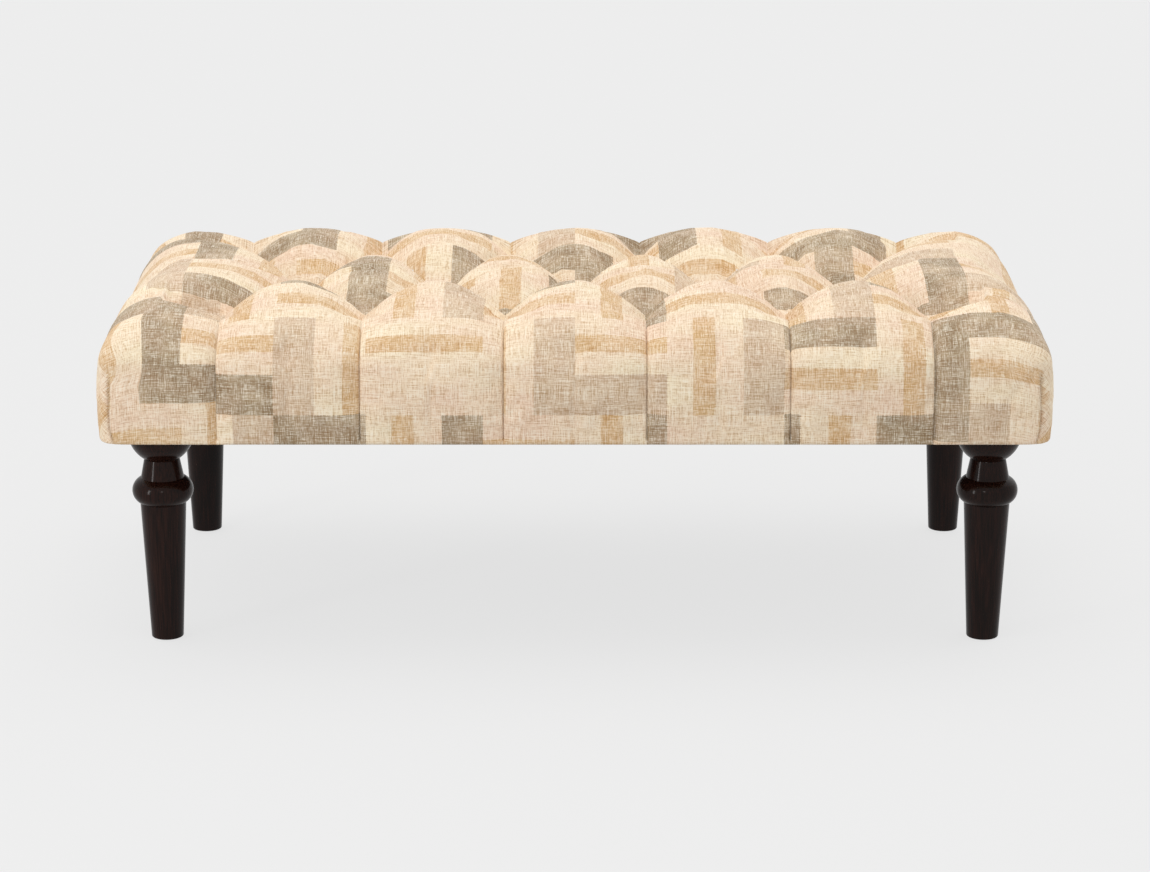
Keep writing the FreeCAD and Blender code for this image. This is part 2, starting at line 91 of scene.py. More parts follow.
class Graph:
    """Adds nodes to one node tree and links them."""

    def __init__(self, tree: bpy.types.NodeTree) -> None:
        """Keeps the tree that the nodes go into."""
        self.tree = tree

    def feed(self, socket: bpy.types.NodeSocket, value: Any) -> None:
        """Links a socket to another one, or sets its own value.

        Args:
            socket: The input to feed.
            value: Another node's output, or a plain value.
        """
        if isinstance(value, bpy.types.NodeSocket):
            self.tree.links.new(value, socket)
        else:
            socket.default_value = value

    def add(self, kind: str, values: dict[Any, Any] | None = None, **settings: Any) -> bpy.types.Node:
        """Adds one node.

        Args:
            kind: The node's type name.
            values: What each input gets, by the input's name or number.
            **settings: The node's own properties.

        Returns:
            The new node.
        """
        node = self.tree.nodes.new(kind)
        for name, value in settings.items():
            setattr(node, name, value)
        for socket, value in (values or {}).items():
            self.feed(node.inputs[socket], value)
        return node

    def math(self, operation: str, a: Any, b: Any = 0.0, c: Any = 0.0) -> bpy.types.NodeSocket:
        """Adds a Math node and returns its result."""
        return self.add("ShaderNodeMath", {0: a, 1: b, 2: c}, operation=operation).outputs[0]

    def vector_math(self, operation: str, a: Any, b: Any = (0.0, 0.0, 0.0)) -> bpy.types.NodeSocket:
        """Adds a Vector Math node and returns its vector."""
        return self.add("ShaderNodeVectorMath", {0: a, 1: b}, operation=operation).outputs[0]

    def split(self, vector: Any) -> bpy.types.NodeOutputs:
        """Adds a Separate XYZ node and returns its outputs."""
        return self.add("ShaderNodeSeparateXYZ", {0: vector}).outputs

    def join(self, x: Any, y: Any, z: Any = 0.0) -> bpy.types.NodeSocket:
        """Adds a Combine XYZ node and returns its vector."""
        return self.add("ShaderNodeCombineXYZ", {0: x, 1: y, 2: z}).outputs[0]

    def noise(self, vector: Any, stretch: Sequence[float], detail: float = 2.0) -> bpy.types.NodeSocket:
        """Adds a noise whose cells have their own count per metre along each axis.

        Args:
            vector: The coordinates, in metres.
            stretch: Cells per metre along each axis.
            detail: How many finer layers are added.

        Returns:
            The noise's value, about 0.5 on average.
        """
        stretched = self.vector_math("MULTIPLY", vector, tuple(stretch))
        values = {"Vector": stretched, "Scale": 1.0, "Detail": detail}
        return self.add("ShaderNodeTexNoise", values).outputs[0]

    def remap(
        self, value: Any, low: float, high: float, to_low: float = 0.0, to_high: float = 1.0
    ) -> bpy.types.NodeSocket:
        """Adds a clamped Map Range node and returns its result."""
        values = {0: value, 1: low, 2: high, 3: to_low, 4: to_high}
        return self.add("ShaderNodeMapRange", values).outputs[0]

    def mix(self, factor: Any, a: Any, b: Any, blend: str = "MIX") -> bpy.types.NodeSocket:
        """Adds a colour Mix node.

        Args:
            factor: How much of the second colour shows.
            a: The first colour.
            b: The second colour.
            blend: How the second one is laid on.

        Returns:
            The mixed colour.
        """
        values = {0: factor, 6: a, 7: b}
        node = self.add("ShaderNodeMix", values, data_type="RGBA", blend_type=blend)
        return node.outputs[2]

    def bump(self, height: Any, distance: float, strength: float = 1.0) -> bpy.types.NodeSocket:
        """Adds a Bump node and returns its normal."""
        values = {"Height": height, "Distance": distance, "Strength": strength}
        return self.add("ShaderNodeBump", values).outputs[0]


class Finish:
    """A material with its own node tree, made once and shared."""

    def __init__(self, name: str) -> None:
        """Makes a material with one Principled shader.

        Args:
            name: The material's name.
        """
        self.material = bpy.data.materials.new(name)
        self.material.use_nodes = True
        self.graph = Graph(self.material.node_tree)
        self.shader = self.material.node_tree.nodes["Principled BSDF"]

    def set(self, **values: Any) -> None:
        """Feeds the shader's inputs, with underscores for spaces in their names."""
        for name, value in values.items():
            self.graph.feed(self.shader.inputs[name.replace("_", " ")], value)

    def object_place(self) -> bpy.types.NodeSocket:
        """The object's own coordinates, in metres."""
        return self.graph.add("ShaderNodeTexCoord").outputs["Object"]


@dataclass(frozen=True)
class PrintedLinen:
    """Slubby linen printed with a basket weave: blocks of straight bars, turned from block to block.

    Cells are counts per metre of cloth, and shares run from 0 to 1.
    """

    uv_name: str = "cloth"
    block: float = 0.142
    thin_bar: tuple[float, float] = (0.22, 0.41)
    wide_bar: float = 0.65
    plain_blocks: float = 0.06
    stone_blocks: float = 0.74
    edge_wander: float = 0.0026
    wash_cells: Triple = (5.0, 13.0, 1.0)
    tint_cells: Triple = (17.0, 23.0, 1.0)
    tint_share: float = 0.30
    worn_cells: tuple[float, float] = (9.0, 34.0)
    worn_share: float = 0.36
    thread_cells: tuple[float, float] = (1080.0, 34.0)
    fleck_cells: tuple[float, float] = (1250.0, 150.0)
    fleck_weight: float = 0.8
    thread_mean: float = 1.80
    thread_high: float = 2.14
    thread_low: float = 1.48
    bare_share: float = 0.66
    shade_share: float = 0.80
    cream: Color = linear(248, 231, 200)
    blush: Color = linear(240, 211, 185)
    sand: Color = linear(221, 183, 134)
    rose: Color = linear(211, 185, 157)
    stone: Color = linear(158, 136, 107)
    bare: Color = linear(255, 247, 230)
    shade: Color = linear(206, 186, 160)

    def bars(
        self, graph: Graph, place: bpy.types.NodeSocket, shift: bpy.types.NodeSocket
    ) -> bpy.types.NodeSocket:
        """The print's colours.

        Args:
            graph: The material's graph.
            place: The cloth's coordinates in metres.
            shift: How far the threads carry the print's edges.

        Returns:
            The colour at each place: a thin and a wide bar in each block, on a washed ground.
        """
        moved = graph.vector_math("ADD", place, shift)
        blocks = graph.vector_math("DIVIDE", moved, (self.block, self.block, 1.0))
        cell = graph.split(graph.vector_math("FLOOR", blocks))
        part = graph.split(graph.vector_math("FRACTION", blocks))
        turn = graph.math("FLOORED_MODULO", graph.math("ADD", cell[0], cell[1]), 2.0)
        across = graph.math("MULTIPLY_ADD", graph.math("SUBTRACT", part[1], part[0]), turn, part[0])
        block = graph.join(cell[0], cell[1])
        draw = graph.add("ShaderNodeTexWhiteNoise", {"Vector": block}, noise_dimensions="2D")
        draws = graph.split(draw.outputs["Color"])
        flip = graph.math("GREATER_THAN", draws[0], 0.5)
        turned = graph.math("MULTIPLY_ADD", across, -2.0, 1.0)
        across = graph.math("MULTIPLY_ADD", turned, flip, across)
        wash = graph.noise(place, self.wash_cells, 3.0)
        ground = graph.mix(graph.remap(wash, 0.38, 0.62), self.cream, self.blush)
        after_thin = graph.math("GREATER_THAN", across, self.thin_bar[1])
        thin = graph.math("SUBTRACT", graph.math("GREATER_THAN", across, self.thin_bar[0]), after_thin)
        color = graph.mix(thin, ground, self.sand)
        dark = graph.mix(graph.math("GREATER_THAN", draws[1], self.stone_blocks), self.stone, self.rose)
        printed = graph.math("GREATER_THAN", draws[2], self.plain_blocks)
        wide = graph.math("MULTIPLY", graph.math("GREATER_THAN", across, self.wide_bar), printed)
        return graph.mix(wide, color, dark)

    @staticmethod
    def crossed(
        graph: Graph, place: bpy.types.NodeSocket, cells: tuple[float, float], detail: float
    ) -> tuple[bpy.types.NodeSocket, bpy.types.NodeSocket]:
        """Two noises of the same cells, the second one turned by a right angle.

        Args:
            graph: The material's graph.
            place: The cloth's coordinates in metres.
            cells: Cells per metre along and across the first one.
            detail: How many finer layers are added.

        Returns:
            Both noises' values.
        """
        first = graph.noise(place, (cells[0], cells[1], 1.0), detail)
        second = graph.noise(place, (cells[1], cells[0], 1.0), detail)
        return first, second

    def dress(self, finish: Finish) -> None:
        """Sets up the finish's nodes.

        Args:
            finish: The material to dress.
        """
        graph = finish.graph
        place = graph.add("ShaderNodeUVMap", uv_map=self.uv_name).outputs[0]
        warp, weft = self.crossed(graph, place, self.thread_cells, 1.0)
        short_warp, short_weft = self.crossed(graph, place, self.fleck_cells, 1.0)
        carry = graph.vector_math("SUBTRACT", graph.join(weft, warp), (0.5, 0.5, 0.0))
        shift = graph.vector_math("MULTIPLY", carry, (self.edge_wander, self.edge_wander, 0.0))
        color = self.bars(graph, place, shift)
        flecks = graph.math("ADD", short_warp, short_weft)
        threads = graph.math("MULTIPLY_ADD", flecks, self.fleck_weight, graph.math("ADD", warp, weft))
        wide, tall = self.crossed(graph, place, self.worn_cells, 3.0)
        worn = graph.remap(graph.math("ADD", wide, tall), 0.85, 1.35, 0.0, self.worn_share)
        tint = graph.remap(graph.noise(place, self.tint_cells, 2.0), 0.38, 0.66, 0.0, self.tint_share)
        light = graph.remap(threads, self.thread_mean, self.thread_high, 0.0, self.bare_share)
        dark = graph.remap(threads, self.thread_mean, self.thread_low, 0.0, self.shade_share)
        color = graph.mix(tint, color, self.blush)
        color = graph.mix(worn, color, self.cream)
        color = graph.mix(light, color, self.bare)
        color = graph.mix(dark, color, self.shade, "MULTIPLY")
        finish.set(
            Base_Color=color,
            Roughness=graph.remap(flecks, 0.7, 1.3, 0.98, 0.84),
            Normal=graph.bump(threads, 0.0005, 0.35),
            Sheen_Weight=0.08,
            Sheen_Roughness=0.5,
            Specular_IOR_Level=0.15,
        )


@dataclass(frozen=True)
class EspressoWood:
    """Near-black stained hardwood under a glossy lacquer, with fine upright grain."""

    grain_cells: Triple = (520.0, 520.0, 9.0)
    pore_cells: Triple = (1500.0, 1500.0, 40.0)
    cloud_cells: Triple = (14.0, 14.0, 6.0)
    dark: Color = linear(19, 8, 5)
    warm: Color = linear(40, 20, 14)

    def dress(self, finish: Finish) -> None:
        """Sets up the finish's nodes.

        Args:
            finish: The material to dress.
        """
        graph = finish.graph
        place = finish.object_place()
        grain = graph.noise(place, self.grain_cells, 4.0)
        pores = graph.noise(place, self.pore_cells, 2.0)
        clouds = graph.noise(place, self.cloud_cells, 2.0)
        clouded = graph.math("MULTIPLY", grain, graph.math("ADD", clouds, 0.45))
        height = graph.math("ADD", grain, graph.math("MULTIPLY", pores, 0.6))
        finish.set(
            Base_Color=graph.mix(graph.remap(clouded, 0.36, 0.66), self.dark, self.warm),
            Roughness=graph.remap(grain, 0.3, 0.7, 0.20, 0.30),
            Normal=graph.bump(height, 0.00006, 0.4),
            Specular_IOR_Level=0.045,
            Coat_Weight=0.19,
            Coat_Roughness=0.08,
        )


@dataclass(frozen=True)
class BareWood:
    """Unfinished frame timber or plywood with its growth lines along one axis."""

    pale: Color
    deep: Color
    line_cells: Triple
    fibres_per_line: float = 6.0

    def dress(self, finish: Finish) -> None:
        """Sets up the finish's nodes.

        Args:
            finish: The material to dress.
        """
        graph = finish.graph
        place = finish.object_place()
        lines = graph.noise(place, self.line_cells, 5.0)
        fibres = graph.noise(place, [self.fibres_per_line * cells for cells in self.line_cells], 2.0)
        finish.set(
            Base_Color=graph.mix(graph.remap(lines, 0.32, 0.68), self.pale, self.deep),
            Roughness=graph.remap(fibres, 0.3, 0.7, 0.62, 0.82),
            Normal=graph.bump(fibres, 0.0003, 0.4),
        )


@dataclass(frozen=True)
class ZincSteel:
    """Zinc-plated steel with a faint cloudy bloom and fine scratches."""

    bloom_cells: Triple = (300.0, 300.0, 300.0)
    scratch_cells: Triple = (2400.0, 300.0, 2400.0)
    bright: Color = linear(196, 198, 202)
    dull: Color = linear(150, 152, 156)

    def dress(self, finish: Finish) -> None:
        """Sets up the finish's nodes.

        Args:
            finish: The material to dress.
        """
        graph = finish.graph
        place = finish.object_place()
        bloom = graph.noise(place, self.bloom_cells, 3.0)
        scratches = graph.noise(place, self.scratch_cells, 1.0)
        finish.set(
            Base_Color=graph.mix(graph.remap(bloom, 0.3, 0.7), self.bright, self.dull),
            Metallic=1.0,
            Roughness=graph.remap(bloom, 0.3, 0.7, 0.26, 0.44),
            Normal=graph.bump(scratches, 0.00004, 0.4),
        )


@dataclass(frozen=True)
class Fibres:
    """A matt soft or plastic stuff with a mottled colour and a fine raised grain."""

    light: Color
    shade: Color
    grain_cells: Triple
    depth: float
    roughness: float = 0.9
    smoother: float = 0.12
    mottle_cells: Triple = (35.0, 35.0, 35.0)

    def dress(self, finish: Finish) -> None:
        """Sets up the finish's nodes.

        Args:
            finish: The material to dress.
        """
        graph = finish.graph
        place = finish.object_place()
        fine = graph.noise(place, self.grain_cells, 3.0)
        broad = graph.noise(place, self.mottle_cells, 2.0)
        tone = graph.remap(graph.math("ADD", fine, broad), 0.75, 1.25)
        finish.set(
            Base_Color=graph.mix(tone, self.light, self.shade),
            Roughness=graph.remap(fine, 0.3, 0.7, self.roughness - self.smoother, self.roughness),
            Normal=graph.bump(fine, self.depth, 0.6),
        )


def finishes() -> dict[str, bpy.types.Material]:
    """Makes every finish once.

    Returns:
        The materials by the record's slot names.
    """
    surfaces = {
        "printed_linen": PrintedLinen(),
        "espresso_wood": EspressoWood(),
        "softwood": BareWood(linear(226, 200, 156), linear(196, 160, 112), (6.0, 160.0, 160.0)),
        "plywood": BareWood(linear(214, 184, 138), linear(186, 148, 104), (8.0, 60.0, 700.0)),
        "zinc_steel": ZincSteel(),
        "nylon": Fibres(linear(62, 60, 58), linear(44, 43, 42), (900.0,) * 3, 0.0001, 0.55),
        "dust_cloth": Fibres(linear(30, 30, 32), linear(19, 19, 21), (700.0,) * 3, 0.0003),
        "polyester_wadding": Fibres(linear(244, 244, 242), linear(226, 226, 224), (220.0,) * 3, 0.002),
        "seat_foam": Fibres(linear(240, 226, 182), linear(226, 208, 160), (1100.0,) * 3, 0.0006),
        "waxed_twine": Fibres(linear(214, 198, 164), linear(184, 166, 130), (900.0, 900.0, 260.0), 0.0003),
    }
    materials = {}
    for slot, surface in surfaces.items():
        finish = Finish(f"{slot}_finish")
        surface.dress(finish)
        materials[slot] = finish.material
    return materials


def new_piece(name: str, mesh: bpy.types.Mesh, material: bpy.types.Material) -> bpy.types.Object:
    """Links a mesh into the scene as one finished piece.

    Args:
        name: The piece's name.
        mesh: Its mesh, with its place in its vertices.
        material: Its finish.

    Returns:
        The new object, at the origin.
    """
    mesh.materials.clear()
    mesh.materials.append(material)
    piece = bpy.data.objects.new(name, mesh)
    bpy.context.scene.collection.objects.link(piece)
    return piece


def plain_mesh(piece: bpy.types.Object) -> None:
    """Makes the result of a piece's modifiers its plain mesh.

    Args:
        piece: The object, whose modifiers are removed.
    """
    bpy.context.view_layer.update()
    graph = bpy.context.evaluated_depsgraph_get()
    seen = piece.evaluated_get(graph)
    mesh = bpy.data.meshes.new_from_object(seen, preserve_all_data_layers=True, depsgraph=graph)
    old = piece.data
    piece.modifiers.clear()
    piece.data = mesh
    bpy.data.meshes.remove(old)


def give_wall(piece: bpy.types.Object, thickness: float) -> None:
    """Gives a sheet of faces its thickness, which lies behind them.

    Args:
        piece: The object, whose mesh is one sheet.
        thickness: The wall's thickness.
    """
    wall = piece.modifiers.new("wall", "SOLIDIFY")
    wall.thickness = thickness
    wall.offset = -1.0
    plain_mesh(piece)


def report(piece: bpy.types.Object) -> None:
    """Logs a finished piece's name and how many faces it has."""
    log.info("%s: %d faces", piece.name, len(piece.data.polygons))


@dataclass
class TuftLayout:
    """Where the blind tufts are, and how the cloth's grid runs through them."""

    pitch: float = 0.1745
    row: float = 0.165
    columns: int = 5
    cells: int = 28
    crowding: float = 0.55

    @property
    def last_column(self) -> float:
        """The outermost tufts' distance from the middle."""
        return self.columns * self.pitch / 2

    def spread(self, start: float, step: float, spans: int) -> np.ndarray:
        """Grid lines that crowd towards the tufts.

        Args:
            start: The first line's place.
            step: The length of one span.
            spans: How many spans.

        Returns:
            The places of spans times cells lines, and one more.
        """
        t = np.arange(spans * self.cells + 1) / self.cells
        return start + step * (t - self.crowding * np.sin(2 * np.pi * t) / (2 * np.pi))


@dataclass
class SeatProfile:
    """The padded edge in section: over the shoulder, down the face and under the frame."""

    top: float
    low: float
    shoulder: float = 0.360
    bulge: float = 0.300
    crest: float = 0.160
    end_crest: float = 0.130
    run: float = 0.075
    lean: float = 0.0035
    tuck: float = 0.0012
    edge: float = 0.006
    flange: float = 0.033
    fall_power: float = 1.5
    end_power: float = 3.3
    round_power: float = 2.0
    shoulder_cells: int = 22
    face_cells: int = 22
    edge_cells: int = 4
    flange_cells: int = 4
    out: np.ndarray = field(init=False)
    rise: np.ndarray = field(init=False)
    end_rise: np.ndarray = field(init=False)
    level: np.ndarray = field(init=False)
    length: np.ndarray = field(init=False)

    def __post_init__(self) -> None:
        """Works out the section's points from its sizes."""
        theta = np.linspace(0, np.pi / 2, self.shoulder_cells + 1)
        out = list((self.run - self.lean) * np.sin(theta))
        inside = self.run - np.array(out)
        level = [self.shoulder] * len(out)
        face_low = self.low + self.edge
        for z in np.linspace(self.shoulder, face_low, self.face_cells + 1)[1:]:
            out.append(self.face_out(z))
            level.append(z)
        centre = out[-1] - self.edge
        for angle in np.linspace(0, np.pi / 2, self.edge_cells + 1)[1:]:
            out.append(centre + self.edge * math.cos(angle))
            level.append(face_low - self.edge * math.sin(angle))
        for distance in np.linspace(out[-1], self.flange, self.flange_cells + 1)[1:]:
            out.append(distance)
            level.append(self.low)
        self.out = np.array(out)
        self.rise = self.left_over(self.fall(inside, self.crest, self.fall_power), len(out))
        self.end_rise = self.left_over(self.fall(inside, self.end_crest, self.end_power), len(out))
        self.level = np.array(level)
        heights = self.level + self.rise * (self.top - self.shoulder)
        steps = np.hypot(np.diff(self.out), np.diff(heights))
        self.length = np.concatenate([[0.0], np.cumsum(steps)])

    @staticmethod
    def left_over(fall: np.ndarray, count: int) -> np.ndarray:
        """What is left of the shoulder's height at each ring, from 1 to 0, for that many rings."""
        left = 1 - (fall - fall[0]) / (1 - fall[0])
        return np.concatenate([left, np.zeros(count - len(left))])

    def fall(self, inside: np.ndarray, crest: float, power: float) -> np.ndarray:
        """How far the top has fallen towards the shoulder.

        Args:
            inside: Distances inwards from the face's plane.
            crest: The crest's distance from it.
            power: How long the top stays high before it falls.

        Returns:
            A share from 0 at the crest to 1 at the shoulder.
        """
        past = np.clip((crest - inside) / (crest - self.lean), 0, 1)
        return 1 - (1 - past**power) ** (1 / self.round_power)

    def face_out(self, z: float) -> float:
        """How far the face stands out from where the section starts.

        Args:
            z: The level.

        Returns:
            The distance at that level.
        """
        below = max(self.bulge - z, 0.0) / (self.bulge - self.low)
        above = max(z - self.bulge, 0.0) / (self.shoulder - self.bulge)
        return self.run - self.tuck * below**2 - self.lean * above**2

    @property
    def count(self) -> int:
        """How many cells the section has."""
        return len(self.out) - 1

    @property
    def under(self) -> int:
        """The number of the first ring past the face."""
        return self.shoulder_cells + self.face_cells


@dataclass
class ClothGrid:
    """The cover as one sheet of cells: the tufted field, its margins and the wrapped edges."""

    layout: TuftLayout
    half_length: float
    half_depth: float
    profile: SeatProfile
    margin_cells: int = 12
    corner_power: float = 6.0
    corner_fill: float = 5.0
    middle_dip: float = 0.010
    tuft_depth: float = 0.042
    fold_depth: float = 0.028
    pleat_depth: float = 0.0145
    face_depth: float = 0.0075
    low_depth: float = 0.004
    tuft_reach: float = 0.085
    gather_depth: float = 0.0011
    gather_reach: float = 0.048
    gather_counts: tuple[int, int] = (13, 19)
    gather_second: float = 0.8
    gather_seed: int = 11
    corner_puff: tuple[float, float] = (3.0, 1.5)
    skin_reach: float = 0.060
    flat_power: float = 2.4
    corner_fold: float = 38.5
    fold_foot: float = 36.5
    fold_turn: tuple[float, float] = (0.5, 1.1)
    foot_rings: int = 4
    crease_end: int = 3

    def __post_init__(self) -> None:
        """Lays out the grid lines along each axis."""
        self.start_x = self.half_length - self.profile.run
        self.start_y = self.half_depth - self.profile.run
        last = self.layout.last_column
        row = self.layout.row
        spans = 2 * self.layout.columns
        along = self.layout.spread(-last, self.layout.pitch / 2, spans)
        across = self.layout.spread(-row, row, 2)
        self.x, self.ring_x = self.lines(along, self.start_x)
        self.y, self.ring_y = self.lines(across, self.start_y)
        self.field_start = self.profile.count + self.margin_cells

    def lines(self, inner: np.ndarray, start: float) -> tuple[np.ndarray, np.ndarray]:
        """Grid lines along one axis.

        Args:
            inner: The lines through the tufts.
            start: Where the wrapped edge starts.

        Returns:
            Each line's place on top, and the number of its ring in the wrapped edge, 0 on top.
        """
        margin = np.linspace(inner[-1], start, self.margin_cells + 1)[1:]
        rings = np.arange(1, self.profile.count + 1)
        edge = np.full(self.profile.count, start)
        places = np.concatenate([-edge, -margin[::-1], inner, margin, edge])
        still = np.zeros(len(inner) + 2 * len(margin), int)
        return places, np.concatenate([rings[::-1], still, rings])

    def crown(self, x: np.ndarray, y: np.ndarray) -> np.ndarray:
        """The untufted top's height, which falls away towards the edges.

        Args:
            x: Places along the length.
            y: Places across.

        Returns:
            The height at each place.
        """
        profile = self.profile
        fall_x = profile.fall(self.half_length - np.abs(x), profile.end_crest, profile.end_power)
        fall_y = profile.fall(self.half_depth - np.abs(y), profile.crest, profile.fall_power)
        both = fall_x**self.corner_fill + fall_y**self.corner_fill
        share = np.minimum(both ** (1 / self.corner_fill), 1.0)
        inner = np.clip(np.abs(y) / (self.half_depth - self.profile.crest), 0, 1)
        dip = self.middle_dip * (1 - inner**2) ** 2
        return self.profile.top - dip - share * (self.profile.top - self.profile.shoulder)

    def corner_angles(self) -> tuple[np.ndarray, np.ndarray, np.ndarray]:
        """How far round its corner each point lies.

        Returns:
            Each point's ring, its angle from the long side's direction, and the corner fold's
            angle at that ring, all angles in radians.
        """
        kx, ky = np.meshgrid(self.ring_x, self.ring_y, indexing="ij")
        ring = np.maximum(kx, ky)
        safe = np.maximum(ring, 1)
        shoulder = self.profile.shoulder_cells
        under = self.profile.under
        rings = [share * shoulder for share in self.fold_turn] + [under - self.foot_rings, under]
        degrees = [45.0, self.corner_fold, self.corner_fold, self.fold_foot]
        fold = np.radians(np.interp(ring, rings, degrees))
        angle = np.where(ky >= kx, kx / safe * fold, np.pi / 2 - ky / safe * (np.pi / 2 - fold))
        return ring, angle, fold

    def turn(self) -> tuple[np.ndarray, np.ndarray, np.ndarray]:
        """How each point wraps round the edge.

        Returns:
            Each point's ring, and its shares of the ring's reach along X and along Y.
        """
        ring, angle, _ = self.corner_angles()
        shoulder = np.clip(2 * ring / self.profile.shoulder_cells, 0, 1)
        power = 2 + (self.corner_power - 2) * shoulder**2 * (3 - 2 * shoulder)
        size = (np.sin(angle) ** power + np.cos(angle) ** power) ** (1 / power)
        share_x = np.where(ring > 0, np.sin(angle) / size, 0.0)
        share_y = np.where(ring > 0, np.cos(angle) / size, 0.0)
        return ring, share_x, share_y

    def envelope(self) -> np.ndarray:
        """The padded form before tufting.

        Returns:
            A grid of points.
        """
        x, y = np.meshgrid(self.x, self.y, indexing="ij")
        ring, share_x, share_y = self.turn()
        _, angle, _ = self.corner_angles()
        reach = self.profile.out[ring]
        start = self.crown(x, y)
        rise = self.profile.rise[ring]
        rise = rise + (self.profile.end_rise[ring] - rise) * np.sin(angle) ** 2
        z = self.profile.level[ring] + rise * (start - self.profile.shoulder)
        z = np.where(ring == 0, start, z)
        far_x = x + np.sign(x) * reach * share_x
        far_y = y + np.sign(y) * reach * share_y
        return np.stack([far_x, far_y, z], axis=-1)

    def creases(self) -> np.ndarray:
        """Finds the folds between the tufts and the pleats that run out from them.

        Returns:
            Whether each point lies on one.
        """
        cells = self.layout.cells
        column = np.arange(len(self.x)) - self.field_start
        line = np.arange(len(self.y)) - self.field_start
        i, j = np.meshgrid(column, line, indexing="ij")
        wide = 2 * self.layout.columns * cells
        in_x = (i >= 0) & (i <= wide)
        in_y = (j >= 0) & (j <= 2 * cells)
        fold = in_x & in_y & (((i - j) % (2 * cells) == 0) | ((i + j) % (2 * cells) == 0))
        front_pleat = in_x & ~in_y & (i % (2 * cells) == 0)
        end_pleat = in_y & ~in_x & (j % (2 * cells) == 0)
        return fold | front_pleat | end_pleat

    def cell_lengths(self, places: np.ndarray, rings: np.ndarray) -> np.ndarray:
        """The length of each cell along one axis, measured on the cloth."""
        on_edge = np.abs(np.diff(self.profile.length[rings]))
        return np.maximum(np.abs(np.diff(places)) + on_edge, 1e-5)

    def swell(self, creases: np.ndarray, rounds: int = 260, over: float = 1.88) -> np.ndarray:
        """How far a skin held along the creases and pushed up from below would rise.

        Args:
            creases: The points that are held.
            rounds: Passes of the solver.
            over: Its over-relaxation.

        Returns:
            The skin's height, 0 on the creases and below 1 elsewhere.
        """
        weights = []
        for lengths in (self.cell_lengths(self.x, self.ring_x), self.cell_lengths(self.y, self.ring_y)):
            before = np.concatenate([lengths[:1], lengths])
            after = np.concatenate([lengths, lengths[-1:]])
            weights += [2 / (before * (before + after)), 2 / (after * (before + after))]
        left, right = (weight[:, None] for weight in weights[:2])
        front, rear = (weight[None, :] for weight in weights[2:])
        pull = 1 / self.skin_reach**2
        whole = left + right + front + rear + pull
        height = np.zeros(creases.shape)
        i, j = np.indices(creases.shape)
        turns = [((i + j) % 2 == side) & ~creases for side in (0, 1)]
        for step in range(2 * rounds):
            edge = np.pad(height, 1, mode="edge")
            total = left * edge[:-2, 1:-1] + right * edge[2:, 1:-1]
            total += front * edge[1:-1, :-2] + rear * edge[1:-1, 2:]
            change = over * ((total + pull) / whole - height)
            height += np.where(turns[step % 2], change, 0.0)
        return height

    def puffs(self, x: np.ndarray, y: np.ndarray) -> tuple[np.ndarray, np.ndarray]:
        """Which puff each place on the flat grid belongs to.

        Args:
            x: Places along the length.
            y: Places across.

        Returns:
            The puff's column and row, in half steps from the middle.
        """
        layout = self.layout
        near_x = np.clip(x, -layout.last_column + 1e-5, layout.last_column - 1e-5)
        near_y = np.clip(y, -layout.row + 1e-5, layout.row - 1e-5)
        along = near_x / layout.pitch + layout.columns / 2 + 0.5
        first = np.floor(along + near_y / (2 * layout.row))
        second = np.floor(along - near_y / (2 * layout.row))
        at_corner = (np.abs(x) > layout.last_column) & (np.abs(y) > layout.row)
        inner = (first + second - layout.columns) / 2
        column = np.where(at_corner, np.sign(x) * self.corner_puff[0], inner)
        row = np.where(at_corner, np.sign(y) * self.corner_puff[1], first - second)
        return column, row

    def depth(self) -> np.ndarray:
        """How deep a crease is drawn in: deepest at the tufts, less along the pleats.

        Returns:
            The depth at each point.
        """
        x, y = np.meshgrid(self.x, self.y, indexing="ij")
        ring, _, _ = self.turn()
        inner_x = np.maximum(np.abs(x) - self.layout.last_column, 0.0)
        inner_y = np.maximum(np.abs(y) - self.layout.row, 0.0)
        margin = np.clip(np.maximum(inner_x, inner_y) / (self.start_y - self.layout.row), 0, 1)
        on_top = self.fold_depth + (self.pleat_depth - self.fold_depth) * margin
        under = self.profile.under
        rings = [0, self.profile.shoulder_cells, under, under + self.crease_end]
        drawn = np.interp(ring, rings, [self.pleat_depth, self.face_depth, self.low_depth, 0.0])
        base = np.where(ring > 0, drawn, on_top)
        half = self.layout.pitch / 2
        near_x = (x + self.layout.last_column) / half
        even = np.abs(near_x - 2 * np.round(near_x / 2)) * half
        odd = np.abs(near_x - 2 * np.round((near_x - 1) / 2) - 1) * half
        past = np.maximum(np.abs(x) - self.layout.last_column, 0.0)
        outer = np.hypot(np.maximum(even, past), np.abs(y) - self.layout.row)
        middle = np.hypot(odd, y)
        near = np.exp(-((np.minimum(outer, middle) / self.tuft_reach) ** 2))
        return np.where(ring > 0, base, base + (self.tuft_depth - base) * near)

